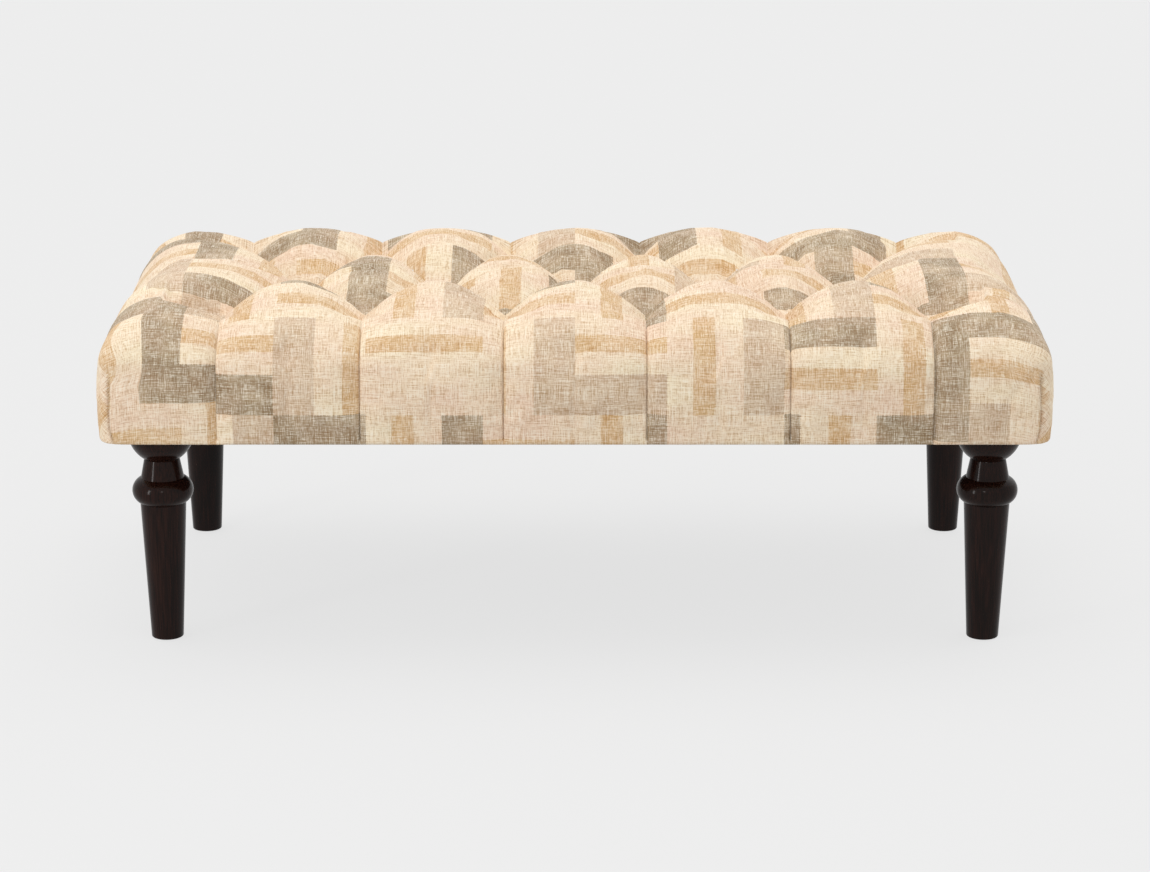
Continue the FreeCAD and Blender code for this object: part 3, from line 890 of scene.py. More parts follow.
    def gathers(self) -> np.ndarray:
        """How deep the small gathers that run out from the tufts are.

        Returns:
            The depth at each point, 0 past the top.
        """
        layout = self.layout
        x, y = np.meshgrid(self.x, self.y, indexing="ij")
        ring, _, _ = self.turn()
        rng = np.random.default_rng(self.gather_seed)
        outer = np.arange(layout.columns + 1) * layout.pitch - layout.last_column
        inner = outer[:-1] + layout.pitch / 2
        tufts = [(tuft, row) for row in (-layout.row, layout.row) for tuft in outer]
        tufts += [(tuft, 0.0) for tuft in inner]
        total = np.zeros(x.shape)
        for tuft_x, tuft_y in tufts:
            far = np.hypot(x - tuft_x, y - tuft_y)
            angle = np.arctan2(y - tuft_y, x - tuft_x)
            first, second = rng.uniform(0, 2 * np.pi, 2)
            waves = np.cos(self.gather_counts[0] * angle + first)
            waves += self.gather_second * np.cos(self.gather_counts[1] * angle + second)
            reach = far / self.gather_reach
            total += np.maximum(waves, 0.0) * 2 * reach * np.exp(-(reach**2))
        return np.where(ring > 0, 0.0, self.gather_depth * total)

    def relief(self, creases: np.ndarray) -> np.ndarray:
        """How far the cloth is drawn in below the envelope.

        Args:
            creases: The points on folds and pleats.

        Returns:
            The depth at each point.
        """
        ring, _, _ = self.turn()
        x, y = np.meshgrid(self.x, self.y, indexing="ij")
        column, row = self.puffs(x, y)
        # One whole number for each puff, whose columns and rows come in half steps.
        number = ((column + 4) * 40 + (row + 4) * 2).astype(int)
        height = self.swell(creases)
        at_corner = np.abs(row) == self.corner_puff[1]
        tufted = (np.abs(x) < self.layout.last_column + 1e-6) & (np.abs(y) < self.layout.row + 1e-6)
        fullest = np.zeros(number.max() + 1)
        np.maximum.at(fullest, number, np.where(tufted | (at_corner & (ring == 0)), height, 0.0))
        share = knee(height / np.maximum(fullest[number], 1e-6))
        wrapped = np.clip(ring / self.profile.shoulder_cells, 0, 1)
        pillow = 1 - share
        taut = (1 - share) ** self.flat_power
        return self.depth() * (pillow + (taut - pillow) * wrapped) + self.gathers()


@dataclass
class TuftedSeat:
    """The printed cover with the wadding and foam under it."""

    materials: dict[str, bpy.types.Material]
    cover_thick: float = 0.0016
    wadding_below: float = 0.0060
    wadding_thick: float = 0.007
    foam_below: float = 0.001
    pleat_slit: float = 0.0045
    corner_slit: float = 0.0085
    corner_step: float = 0.0026
    step_width: float = 14.0
    slit_start: int = 8
    slit_end: int = 2
    fold_span: tuple[float, float] = (0.48, 0.62)
    bias_span: tuple[float, float] = (0.40, 0.60)
    bias_share: float = 0.45
    cloth_take: float = 0.030
    cap: float = 0.006
    held_rings: int = 2
    frames: int = 16
    pressure: float = 0.9
    slack: float = 0.012

    def __post_init__(self) -> None:
        """Takes the seat's sizes from the frame's cover."""
        low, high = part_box("seat_cover")
        self.profile = SeatProfile(top=high.z, low=low.z)
        self.grid = ClothGrid(TuftLayout(), high.x, high.y, self.profile)

    def build(self) -> None:
        """Makes the cover, the wadding and the foam."""
        creases = self.grid.creases()
        envelope = self.grid.envelope()
        outward = smoothed_normals(envelope)
        points = envelope - outward * self.grid.relief(creases)[..., None]
        points = points + self.blown(points, creases)
        drawn = self.with_slits(points, outward, creases)
        self.make_cover(drawn)
        self.make_wadding(drawn, outward)
        self.make_foam(drawn, outward)

    def blown(self, points: np.ndarray, creases: np.ndarray) -> np.ndarray:
        """Blows the cloth up between its folds by simulation.

        Args:
            points: The tufted form.
            creases: The points that stay put.

        Returns:
            How far each point moves.
        """
        coarse = points[::2, ::2]
        shape = coarse.shape[:2]
        ring, _, _ = self.grid.turn()
        held = creases[::2, ::2] | (ring[::2, ::2] >= self.profile.under - self.held_rings)
        faces = grid_faces(shape)
        mesh = bpy.data.meshes.new("cloth_trial")
        mesh.from_pydata(coarse.reshape(-1, 3).tolist(), [], faces.tolist())
        trial = bpy.data.objects.new("cloth_trial", mesh)
        bpy.context.scene.collection.objects.link(trial)
        group = trial.vertex_groups.new(name="held")
        group.add(np.flatnonzero(held.ravel()).tolist(), 1.0, "REPLACE")
        cloth = trial.modifiers.new("cloth", "CLOTH").settings
        cloth.vertex_group_mass = group.name
        cloth.quality = 6
        cloth.mass = 0.25
        cloth.tension_stiffness = 25
        cloth.compression_stiffness = 25
        cloth.shear_stiffness = 10
        cloth.bending_stiffness = 0.6
        cloth.use_pressure = True
        cloth.uniform_pressure_force = self.pressure
        cloth.shrink_min = -self.slack
        cloth.effector_weights.gravity = 0
        scene = bpy.context.scene
        for number in range(1, self.frames + 1):
            scene.frame_set(number)
        seen = trial.evaluated_get(bpy.context.evaluated_depsgraph_get())
        result = np.zeros(len(seen.data.vertices) * 3)
        seen.data.vertices.foreach_get("co", result)
        bpy.data.objects.remove(trial)
        scene.frame_set(1)
        move = result.reshape(coarse.shape) - coarse
        size = np.linalg.norm(move, axis=-1, keepdims=True)
        in_mm = 1000 * size
        log.info("cloth moves %.1f mm on average, at most %.1f mm", in_mm.mean(), in_mm.max())
        move *= np.minimum(1.0, self.cap / np.maximum(size, 1e-9))
        return finer(move, points.shape[:2])

    def with_slits(self, points: np.ndarray, outward: np.ndarray, creases: np.ndarray) -> np.ndarray:
        """Draws the pleats and corner folds in as narrow slits.

        Args:
            points: The blown form.
            outward: The envelope's normals.
            creases: The folds and pleats.

        Returns:
            The finished points.
        """
        ring, _, _ = self.grid.turn()
        kx, ky = np.meshgrid(self.grid.ring_x, self.grid.ring_y, indexing="ij")
        under = self.profile.under
        ends = [under, under + self.slit_end]
        fade = np.interp(ring, [0, self.slit_start, *ends], [0.0, 1.0, 1.0, 0.0])
        slit = np.where(creases & (ring > 0), self.pleat_slit * fade, 0.0)
        starts = [under * share for share in self.fold_span]
        low_half = np.interp(ring, starts + ends, [0.0, 1.0, 1.0, 0.0])
        _, angle, fold = self.grid.corner_angles()
        past = np.degrees(angle - fold)
        lower_cloth = (kx > ky) & (ky > 0)
        step = self.corner_step * low_half * np.exp(-past / self.step_width)
        slit += np.where(lower_cloth, step, 0.0)
        slit = np.where((kx == ky) & (kx > 0), self.corner_slit * low_half, slit)
        return points - outward * slit[..., None]

    def puff_shift(self, middle: np.ndarray) -> np.ndarray:
        """How far the print is carried on by the cloth that the folds take up.

        Args:
            middle: Each face's middle on the flat grid, in metres.

        Returns:
            The shift of each face's puff, in metres.
        """
        across, along = self.grid.puffs(middle[:, 0], middle[:, 1])
        return self.cloth_take * np.stack([across, along], axis=-1)

    def cloth_places(self) -> tuple[np.ndarray, np.ndarray]:
        """Where each point lies on the flat cloth.

        Returns:
            Two grids of places, which differ only at the corner folds: the long side's cloth,
            which runs straight into the fold, and the end's, which comes round the corner on the bias.
        """
        grid = self.grid
        x, y = np.meshgrid(grid.x, grid.y, indexing="ij")
        _, share_x, _ = grid.turn()
        ring, angle, fold = grid.corner_angles()
        kx, ky = np.meshgrid(grid.ring_x, grid.ring_y, indexing="ij")
        length = self.profile.length[ring]
        under = self.profile.under
        folded = np.interp(ring, [share * under for share in self.bias_span], [0.0, 1.0])
        true_angle = self.profile.out[ring] / np.maximum(length, 1e-6)
        from_side = angle + folded * (true_angle * share_x - angle)
        past = np.clip((angle - fold) / (np.pi / 2 - fold), 0, 1)
        eased = self.bias_share * past + (1 - self.bias_share) * past**2
        from_end = angle + folded * (np.pi / 4 * (1 + eased) - angle)
        places = []
        for turned in (from_side, from_end):
            u = x + np.sign(x) * length * np.sin(turned) * (kx > 0)
            v = y + np.sign(y) * length * np.cos(turned) * (ky > 0)
            places.append(np.stack([u, v], axis=-1))
        return places[0], places[1]

    def split_faces(self) -> tuple[list[tuple[int, ...]], np.ndarray, np.ndarray]:
        """The grid's faces, with those that a fold crosses cut in two along it.

        Returns:
            The faces, each one's middle on the flat grid, and whether it belongs to an end's cloth.
        """
        grid = self.grid
        creases = grid.creases()
        high = len(grid.y)
        flat = np.stack(np.meshgrid(grid.x, grid.y, indexing="ij"), axis=-1).reshape(-1, 2)
        kx, ky = np.meshgrid(grid.ring_x, grid.ring_y, indexing="ij")
        end_side = (kx - ky).ravel()
        steps = np.meshgrid(self.flat_steps(grid.ring_x), self.flat_steps(grid.ring_y), indexing="ij")
        flat = flat + np.stack(steps, axis=-1).reshape(-1, 2)
        held = creases.ravel()
        faces = []
        start, stop = grid.field_start, len(grid.x) - grid.field_start - 1
        low, top = grid.field_start, high - grid.field_start - 1
        for a, b, c, d in grid_faces(creases.shape).tolist():
            i, j = divmod(a, high)
            in_field = start <= i < stop and low <= j < top
            if in_field and held[a] and held[c]:
                faces += [(a, b, c), (a, c, d)]
            elif in_field and held[b] and held[d]:
                faces += [(a, b, d), (b, c, d)]
            else:
                faces.append((a, b, c, d))
        middle = np.array([flat[list(face)].mean(axis=0) for face in faces])
        at_end = np.array([end_side[list(face)].mean() > 0 for face in faces])
        return faces, middle, at_end

    @staticmethod
    def flat_steps(rings: np.ndarray, step: float = 1e-3) -> np.ndarray:
        """A small step outwards for each ring, which tells wrapped faces apart on the flat grid."""
        sign = np.where(np.arange(len(rings)) < len(rings) / 2, -1, 1)
        return sign * rings * step

    def make_cover(self, points: np.ndarray) -> None:
        """Makes the cover's mesh with its cloth coordinates, and gives it its thickness.

        Args:
            points: The finished grid of points.
        """
        faces, middle, at_end = self.split_faces()
        mesh = bpy.data.meshes.new("tufted_cover")
        mesh.from_pydata(points.reshape(-1, 3).tolist(), [], faces)
        side_places, end_places = (places.reshape(-1, 2) for places in self.cloth_places())
        shift = self.puff_shift(middle)
        corners = np.array([number for face in faces for number in face])
        sizes = np.array([len(face) for face in faces])
        of_face = np.repeat(np.arange(len(faces)), sizes)
        places = np.where(at_end[of_face, None], end_places[corners], side_places[corners])
        layer = mesh.uv_layers.new(name=PrintedLinen.uv_name)
        layer.data.foreach_set("uv", (places + shift[of_face]).ravel())
        mesh.shade_smooth()
        cover = new_piece("tufted_cover", mesh, self.materials["printed_linen"])
        give_wall(cover, self.cover_thick)
        self.place(cover, "seat_cover", "printed_linen", fill=0.95)

    def make_wadding(self, points: np.ndarray, outward: np.ndarray) -> None:
        """Makes the wadding that lies under the cover, on a coarser grid.

        Args:
            points: The cover's points.
            outward: The envelope's normals.
        """
        last = self.profile.flange_cells + self.profile.edge_cells + 2
        keep = (slice(last, -last, 2), slice(last, -last, 2))
        inner = (points - outward * self.wadding_below)[keep]
        mesh = bpy.data.meshes.new("wadding")
        mesh.from_pydata(inner.reshape(-1, 3).tolist(), [], grid_faces(inner.shape[:2]).tolist())
        mesh.shade_smooth()
        wadding = new_piece("wadding", mesh, self.materials["polyester_wadding"])
        give_wall(wadding, self.wadding_thick)
        self.place(wadding, "batting_wrap", "polyester_wadding", fill=0.8)

    def make_foam(self, points: np.ndarray, outward: np.ndarray) -> None:
        """Makes the foam block under the wadding, flat below where it lies on the deck.

        Args:
            points: The cover's points.
            outward: The envelope's normals.
        """
        below = self.wadding_below + self.wadding_thick + self.foam_below
        last = self.profile.count - self.profile.shoulder_cells
        keep = (slice(last, -last, 2), slice(last, -last, 2))
        inner = (points - outward * below)[keep]
        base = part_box("foam_core")[0].z
        inner[..., 2] = np.maximum(inner[..., 2], base + self.foam_below)
        shape = inner.shape[:2]
        numbers = np.arange(shape[0] * shape[1]).reshape(shape)
        edges = [numbers[:-1, 0], numbers[-1, :-1], numbers[:0:-1, -1], numbers[0, :0:-1]]
        rim = np.concatenate(edges)
        foot = inner.reshape(-1, 3)[rim].copy()
        foot[:, 2] = base
        first = numbers.size
        count = len(rim)
        faces = [tuple(face) for face in grid_faces(shape).tolist()]
        for here in range(count):
            after = (here + 1) % count
            faces.append((int(rim[here]), first + here, first + after, int(rim[after])))
        faces.append(tuple(range(first + count - 1, first - 1, -1)))
        mesh = bpy.data.meshes.new("foam")
        mesh.from_pydata(inner.reshape(-1, 3).tolist() + foot.tolist(), [], faces)
        foam = new_piece("foam", mesh, self.materials["seat_foam"])
        self.place(foam, "foam_core", "seat_foam", fill=1.0)

    @staticmethod
    def place(piece: bpy.types.Object, node: str, slot: str, fill: float) -> None:
        """Sets a padded piece on the frame in place of its node.

        Args:
            piece: The finished piece.
            node: The node that it stands for.
            slot: The record's material slot; not used.
            fill: How tightly it is filled, from 0 to 1; not used.
        """
        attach(piece, "frame")
        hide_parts(node)
        report(piece)


def knee(share: np.ndarray, start: float = 0.7) -> np.ndarray:
    """Lets values grow freely at first and then level off smoothly at 1.

    Args:
        share: The values.
        start: Where the levelling starts.

    Returns:
        The values, none above 1.
    """
    over = np.clip(share - start, 0, 2 * (1 - start))
    return np.minimum(share, start + over) - over**2 / (4 * (1 - start))


def grid_faces(shape: tuple[int, int]) -> np.ndarray:
    """The cells of a grid of points.

    Args:
        shape: How many points it has each way.

    Returns:
        Rows of four point numbers, turned to face up where the grid runs along X and then Y.
    """
    numbers = np.arange(shape[0] * shape[1]).reshape(shape)
    cells = [numbers[:-1, :-1], numbers[1:, :-1], numbers[1:, 1:], numbers[:-1, 1:]]
    return np.stack(cells, axis=-1).reshape(-1, 4)


def smoothed_normals(points: np.ndarray) -> np.ndarray:
    """Outward normals of a grid of points, averaged over the faces round each one.

    Args:
        points: The grid.

    Returns:
        A unit vector at each point.
    """
    a, b = points[:-1, :-1], points[1:, :-1]
    c, d = points[1:, 1:], points[:-1, 1:]
    face = np.cross(c - a, d - b)
    total = np.zeros_like(points)
    total[:-1, :-1] += face
    total[1:, :-1] += face
    total[1:, 1:] += face
    total[:-1, 1:] += face
    return total / np.maximum(np.linalg.norm(total, axis=-1, keepdims=True), 1e-12)


def finer(values: np.ndarray, shape: tuple[int, int]) -> np.ndarray:
    """Fills in a grid whose every other line along both axes is known.

    Args:
        values: The known grid.
        shape: The full grid's size.

    Returns:
        The full grid, with the missing points halfway between their neighbours.
    """
    full = np.zeros((*shape, values.shape[-1]))
    full[::2, ::2] = values
    full[1::2, ::2] = (values[:-1] + values[1:]) / 2
    full[:, 1::2] = (full[:, :-1:2] + full[:, 2::2]) / 2
    return full


@dataclass
class TurnedLeg:
    """One turned leg: taper, ring, neck and bun on its own axis."""

    corner: Corner
    material: bpy.types.Material
    sides: int = 96
    foot_radius: float = 0.0200
    foot_round: float = 0.0018
    taper_radius: float = 0.0284
    ring_low: float = 0.177
    ring_top: float = 0.209
    ring_radius: float = 0.0378
    neck_low_radius: float = 0.0267
    neck_top_radius: float = 0.0217
    neck_step: float = 0.0008
    bun_low_radius: float = 0.0224
    bun_radius: float = 0.041
    bun_above: float = 0.0025
    taper_shares: tuple[float, ...] = (0.25, 0.5, 0.75, 0.985)
    neck_low_ease: tuple[float, float] = (0.0002, 0.0006)
    neck_top_ease: tuple[float, float] = (0.0004, 0.001)
    foot_steps: int = 5
    ring_steps: int = 22
    bun_steps: int = 20
    crease_angle: float = 38.0

    def outline(self, low: float, top: float) -> Outline:
        """The leg's profile, from the middle of the foot to the middle of the top.

        Args:
            low: The foot's level.
            top: The leg's top level.

        Returns:
            The profile's points as radius and height.
        """
        centre = top + self.bun_above
        bun_low = centre - math.sqrt(self.bun_radius**2 - self.bun_low_radius**2)
        foot = self.foot_radius - self.foot_round
        points = [(0.0, low), (foot, low)]
        points += arc_points(foot, low + self.foot_round, self.foot_round, -90, 0, self.foot_steps)[1:]
        start = (self.foot_radius, low + self.foot_round)
        end = (self.taper_radius, self.ring_low)
        for share in self.taper_shares:
            radius = start[0] + (end[0] - start[0]) * share
            points.append((radius, start[1] + (end[1] - start[1]) * share))
        widest = (self.ring_radius, (self.ring_low + self.ring_top) / 2)
        points += three_point_arc(end, widest, (self.neck_low_radius, self.ring_top), self.ring_steps)
        inward, upward = self.neck_low_ease
        points.append((self.neck_low_radius - inward, self.ring_top + upward))
        outward, downward = self.neck_top_ease
        points.append((self.neck_top_radius + outward, bun_low - self.neck_step - downward))
        points += [(self.neck_top_radius, bun_low - self.neck_step), (self.bun_low_radius, bun_low)]
        low_angle = math.degrees(math.asin((bun_low - centre) / self.bun_radius))
        top_angle = math.degrees(math.asin(-self.bun_above / self.bun_radius))
        points += arc_points(0.0, centre, self.bun_radius, low_angle, top_angle, self.bun_steps)[1:]
        points += [(0.0, top)]
        return points

    def build(self) -> bpy.types.Object:
        """Makes the leg and sets it on its body.

        Returns:
            The finished piece.
        """
        node = f"leg_{self.corner.value}"
        low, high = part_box(node)
        axis = (low + high) / 2
        mesh = turned_mesh(node, self.outline(low.z, high.z), (axis.x, axis.y), self.sides)
        mesh.set_sharp_from_angle(angle=math.radians(self.crease_angle))
        leg = new_piece(f"turned_{node}", mesh, self.material)
        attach(leg, f"{self.corner.value}_leg")
        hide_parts(node)
        return leg


def arc_points(x: float, z: float, radius: float, start: float, stop: float, steps: int) -> Outline:
    """Points of an arc about a centre, between two angles in degrees."""
    angles = np.radians(np.linspace(start, stop, steps + 1))
    return [(x + radius * math.cos(a), z + radius * math.sin(a)) for a in angles]


def three_point_arc(
    a: tuple[float, float], b: tuple[float, float], c: tuple[float, float], steps: int
) -> Outline:
    """Points of the arc from a through b to c.

    Args:
        a: The first point.
        b: A point on the way.
        c: The last point.
        steps: How many pieces.

    Returns:
        The arc's points, both ends among them.
    """
    matrix = np.array([[b[0] - a[0], b[1] - a[1]], [c[0] - b[0], c[1] - b[1]]])
    to_middle = b[0] ** 2 - a[0] ** 2 + b[1] ** 2 - a[1] ** 2
    to_last = c[0] ** 2 - b[0] ** 2 + c[1] ** 2 - b[1] ** 2
    right = np.array([to_middle, to_last])
    x, z = np.linalg.solve(2 * matrix, right)
    radius = math.hypot(a[0] - x, a[1] - z)
    start, stop = (math.degrees(math.atan2(p[1] - z, p[0] - x)) for p in (a, c))
    return arc_points(x, z, radius, start, stop, steps)


def turned_mesh(
    name: str, outline: Sequence[tuple[float, float]], axis: tuple[float, float], sides: int
) -> bpy.types.Mesh:
    """Turns a profile about an upright axis into a closed mesh.

    Args:
        name: The mesh's name.
        outline: Radius and height from the lower pole to the upper one.
        axis: The axis's place.
        sides: How many sides the round has.

    Returns:
        The mesh, smooth shaded.
    """
    angles = 2 * np.pi * np.arange(sides) / sides
    rings = outline[1:-1]
    points = [(axis[0], axis[1], outline[0][1])]
    for radius, z in rings:
        points += [(axis[0] + radius * math.cos(a), axis[1] + radius * math.sin(a), z) for a in angles]
    points.append((axis[0], axis[1], outline[-1][1]))
    last = len(points) - 1
    faces: list[tuple[int, ...]] = []
    for side in range(sides):
        after = (side + 1) % sides
        faces.append((0, 1 + after, 1 + side))
        for ring in range(len(rings) - 1):
            here = 1 + ring * sides
            above = here + sides
            faces.append((here + side, here + after, above + after, above + side))
        top = 1 + (len(rings) - 1) * sides
        faces.append((top + side, top + after, last))
    mesh = bpy.data.meshes.new(name)
    mesh.from_pydata(points, [], faces)
    mesh.shade_smooth()
    return mesh


class RepeatTree:
    """A Geometry Nodes tree with named inputs, which ends in Realize Instances and Set Material."""

    def __init__(self, name: str) -> None:
        """Makes a tree with a shape and a finish as its first inputs.

        Args:
            name: The tree's name.
        """
        self.tree = bpy.data.node_groups.new(name, "GeometryNodeTree")
        self.graph = Graph(self.tree)
        self.start = self.tree.nodes.new("NodeGroupInput")
        self.keys: dict[str, str] = {}
        self.tree.interface.new_socket("Geometry", in_out="OUTPUT", socket_type="NodeSocketGeometry")
        self.shape = self.named("Shape", "Geometry")
        self.finish = self.named("Finish", "Material")

    def named(self, name: str, kind: str = "Float") -> bpy.types.NodeSocket:
        """Adds one named input.

        Args:
            name: The input's name.
            kind: What it holds.

        Returns:
            The socket that gives its value inside the tree.
        """
        socket = self.tree.interface.new_socket(name, in_out="INPUT", socket_type=f"NodeSocket{kind}")
        self.keys[name] = socket.identifier
        return self.start.outputs[name]

    def close(self, geometry: bpy.types.NodeSocket) -> None:
        """Realizes the instances, sets the finish and links the tree's output.

        Args:
            geometry: What the tree has made.
        """
        real = self.graph.add("GeometryNodeRealizeInstances", {0: geometry}).outputs[0]
        values = {"Geometry": real, "Material": self.finish}
        dressed = self.graph.add("GeometryNodeSetMaterial", values).outputs[0]
        self.graph.add("NodeGroupOutput", {0: dressed})

    def run(self, piece: bpy.types.Object, values: dict[str, Any]) -> None:
        """Runs the tree on a piece and keeps the result as its plain mesh.

        Args:
            piece: The object, whose mesh is the tree's shape.
            values: What each named input gets.
        """
        modifier = piece.modifiers.new("repeat", "NODES")
        modifier.node_group = self.tree
        for name, value in values.items():
            modifier[self.keys[name]] = value
        plain_mesh(piece)


@dataclass
class DustCover:
    """The black sheet under the frame and the staples that hold its edge."""

    materials: dict[str, bpy.types.Material]
    cells: tuple[int, int] = (64, 30)
    patch: float = 0.024
    patch_cells: int = 12
    rim_cells: int = 3
    hole_ring: int = 3
    hole_radius: float = 0.006
    thick: float = 0.0006
    sag: float = 0.005
    washer_reach: float = 0.07
    pucker: float = 0.0014
    pucker_reach: float = 0.028
    staple_in: float = 0.011
    staple_pitch: float = 0.062
    crown: float = 0.0091
    wire: float = 0.0009
    wire_sides: int = 6
    bend_cells: int = 2
    tilt: float = 0.09
    staple_leg: float = 0.007
    leg_clear: float = 0.052
    seed: int = 5

    def __post_init__(self) -> None:
        """Takes the sheet's size and the legs' places from the frame."""
        self.low, self.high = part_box("dust_cover")
        leg_low, leg_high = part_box(f"leg_{Corner.REAR_RIGHT.value}")
        self.leg = (leg_low + leg_high) / 2

    def lines(self, half: float, leg: float, count: int) -> np.ndarray:
        """Grid lines across the sheet, with a finer patch at each leg's bolt.

        Args:
            half: Half the sheet's size.
            leg: The bolt's distance from the middle.
            count: How many cells the middle gets.

        Returns:
            The lines' places.
        """
        inner, outer = leg - self.patch, leg + self.patch
        middle = np.linspace(-inner, inner, count + 1)
        fine = np.linspace(inner, outer, self.patch_cells + 1)[1:]
        rim = np.linspace(outer, half, self.rim_cells + 1)[1:]
        side = np.concatenate([fine, rim])
        return np.concatenate([-side[::-1], middle, side])

    def build(self) -> None:
        """Makes the sheet and its staples."""
        report(self.make_sheet())
        report(self.make_staples())

    def hang(self, x: np.ndarray, y: np.ndarray) -> np.ndarray:
        """How far the sheet hangs below its edge, held up by the staples and the legs' washers.

        Args:
            x: Places along the length.
            y: Places across.

        Returns:
            The distance at each place.
        """
        across = (1 - (x / self.high.x) ** 2) * (1 - (y / self.high.y) ** 2)
        to_leg = np.hypot(np.abs(x) - self.leg.x, np.abs(y) - self.leg.y)
        free = 1 - np.exp(-((to_leg / self.washer_reach) ** 4))
        waves = np.zeros_like(x)
        sides = ((x, self.high.x, self.high.y - np.abs(y)), (y, self.high.y, self.high.x - np.abs(x)))
        for along, half, to_edge in sides:
            count = math.floor(2 * (half - self.staple_in) / self.staple_pitch)
            step = along / self.staple_pitch + count % 2 / 2
            between = 0.5 - 0.5 * np.cos(2 * np.pi * step)
            waves += between * np.exp(-to_edge / self.pucker_reach)
        return free * (self.sag * across + self.pucker * waves)

    def make_sheet(self) -> bpy.types.Object:
        """Makes the sheet with its bolt holes.

        Returns:
            The finished piece.
        """
        x, y = np.meshgrid(
            self.lines(self.high.x, self.leg.x, self.cells[0]),
            self.lines(self.high.y, self.leg.y, self.cells[1]),
            indexing="ij",
        )
        step = 2 * self.patch / self.patch_cells
        off_x, off_y = np.abs(x) - self.leg.x, np.abs(y) - self.leg.y
        number = np.round(np.maximum(np.abs(off_x), np.abs(off_y)) / step)
        whole = self.patch_cells / 2
        in_patch = number <= whole
        share = np.clip((number - self.hole_ring) / (whole - self.hole_ring), 0, 1)
        size = np.maximum(np.hypot(off_x, off_y), 1e-9)
        round_x, round_y = off_x / size * self.hole_radius, off_y / size * self.hole_radius
        new_x = np.sign(x) * (self.leg.x + round_x + share * (off_x - round_x))
        new_y = np.sign(y) * (self.leg.y + round_y + share * (off_y - round_y))
        x, y = np.where(in_patch, new_x, x), np.where(in_patch, new_y, y)
        points = np.stack([x, y, self.low.z - self.hang(x, y)], axis=-1).reshape(-1, 3)
        faces = grid_faces(x.shape)
        in_hole = (number.ravel()[faces] <= self.hole_ring).all(axis=1)
        faces = faces[~in_hole][:, ::-1]
        used, faces = np.unique(faces, return_inverse=True)
        mesh = bpy.data.meshes.new("dust_sheet")
        mesh.from_pydata(points[used].tolist(), [], faces.reshape(-1, 4).tolist())
        mesh.shade_smooth()
        sheet = new_piece("dust_sheet", mesh, self.materials["dust_cloth"])
        give_wall(sheet, self.thick)
        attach(sheet, "frame")
        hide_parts("dust_cover")
        return sheet

    def staple_tree(self) -> RepeatTree:
        """Makes the tree that sets staples in a row under each rail, and none beside a leg.

        Returns:
            The tree, ready to run on one staple's path.
        """
        tree = RepeatTree("staple_rows")
        graph = tree.graph
        line_x, line_y = tree.named("Line X"), tree.named("Line Y")
        pitch, level = tree.named("Pitch"), tree.named("Level")
        wire, clear = tree.named("Wire"), tree.named("Clear of legs")
        leg, seed = tree.named("Leg", "Vector"), tree.named("Seed", "Int")
        path = graph.add("GeometryNodeMeshToCurve", {0: tree.shape}).outputs[0]
        values = {"Curve": path, "Radius": wire, "Count": self.bend_cells}
        bent = graph.add("GeometryNodeFilletCurve", values, mode="POLY").outputs[0]
        values = {"Resolution": self.wire_sides, "Radius": graph.math("MULTIPLY", wire, 0.5)}
        ring = graph.add("GeometryNodeCurvePrimitiveCircle", values).outputs[0]
        values = {"Curve": bent, "Profile Curve": ring, "Fill Caps": True}
        staple = graph.add("GeometryNodeCurveToMesh", values).outputs[0]
        rows = []
        for reach, across, turned in ((line_x, line_y, False), (line_y, line_x, True)):
            count = graph.math("FLOOR", graph.math("DIVIDE", graph.math("MULTIPLY", reach, 2.0), pitch))
            half_pitch = graph.math("MULTIPLY", pitch, 0.5)
            first = graph.math("MULTIPLY", graph.math("SUBTRACT", 2.0, count), half_pitch)
            for side in (-1.0, 1.0):
                place = graph.math("MULTIPLY", across, side)
                start = graph.join(place, first, level) if turned else graph.join(first, place, level)
                offset = graph.join(0.0, pitch) if turned else graph.join(pitch, 0.0)
                values = {"Count": count, "Start Location": start, "Offset": offset}
                points = graph.add("GeometryNodeMeshLine", values).outputs[0]
                here = graph.add("GeometryNodeInputPosition").outputs[0]
                to_leg = graph.vector_math("SUBTRACT", graph.vector_math("ABSOLUTE", here), leg)
                flat = graph.vector_math("MULTIPLY", to_leg, (1.0, 1.0, 0.0))
                gap = graph.add("ShaderNodeVectorMath", {0: flat}, operation="LENGTH").outputs[1]
                near = graph.math("LESS_THAN", gap, clear)
                values = {"Geometry": points, "Selection": near}
                points = graph.add("GeometryNodeDeleteGeometry", values).outputs[0]
                values = {"Min": (0.0, 0.0, -self.tilt), "Max": (0.0, 0.0, self.tilt), "Seed": seed}
                tilt = graph.add("FunctionNodeRandomValue", values, data_type="FLOAT_VECTOR").outputs[0]
                angle = graph.vector_math("ADD", tilt, (0.0, 0.0, math.pi / 2 if turned else 0.0))
                values = {"Points": points, "Instance": staple, "Rotation": angle}
                rows.append(graph.add("GeometryNodeInstanceOnPoints", values).outputs[0])
        joined = graph.add("GeometryNodeJoinGeometry")
        for row in rows:
            tree.tree.links.new(row, joined.inputs[0])
        tree.close(joined.outputs[0])
        return tree

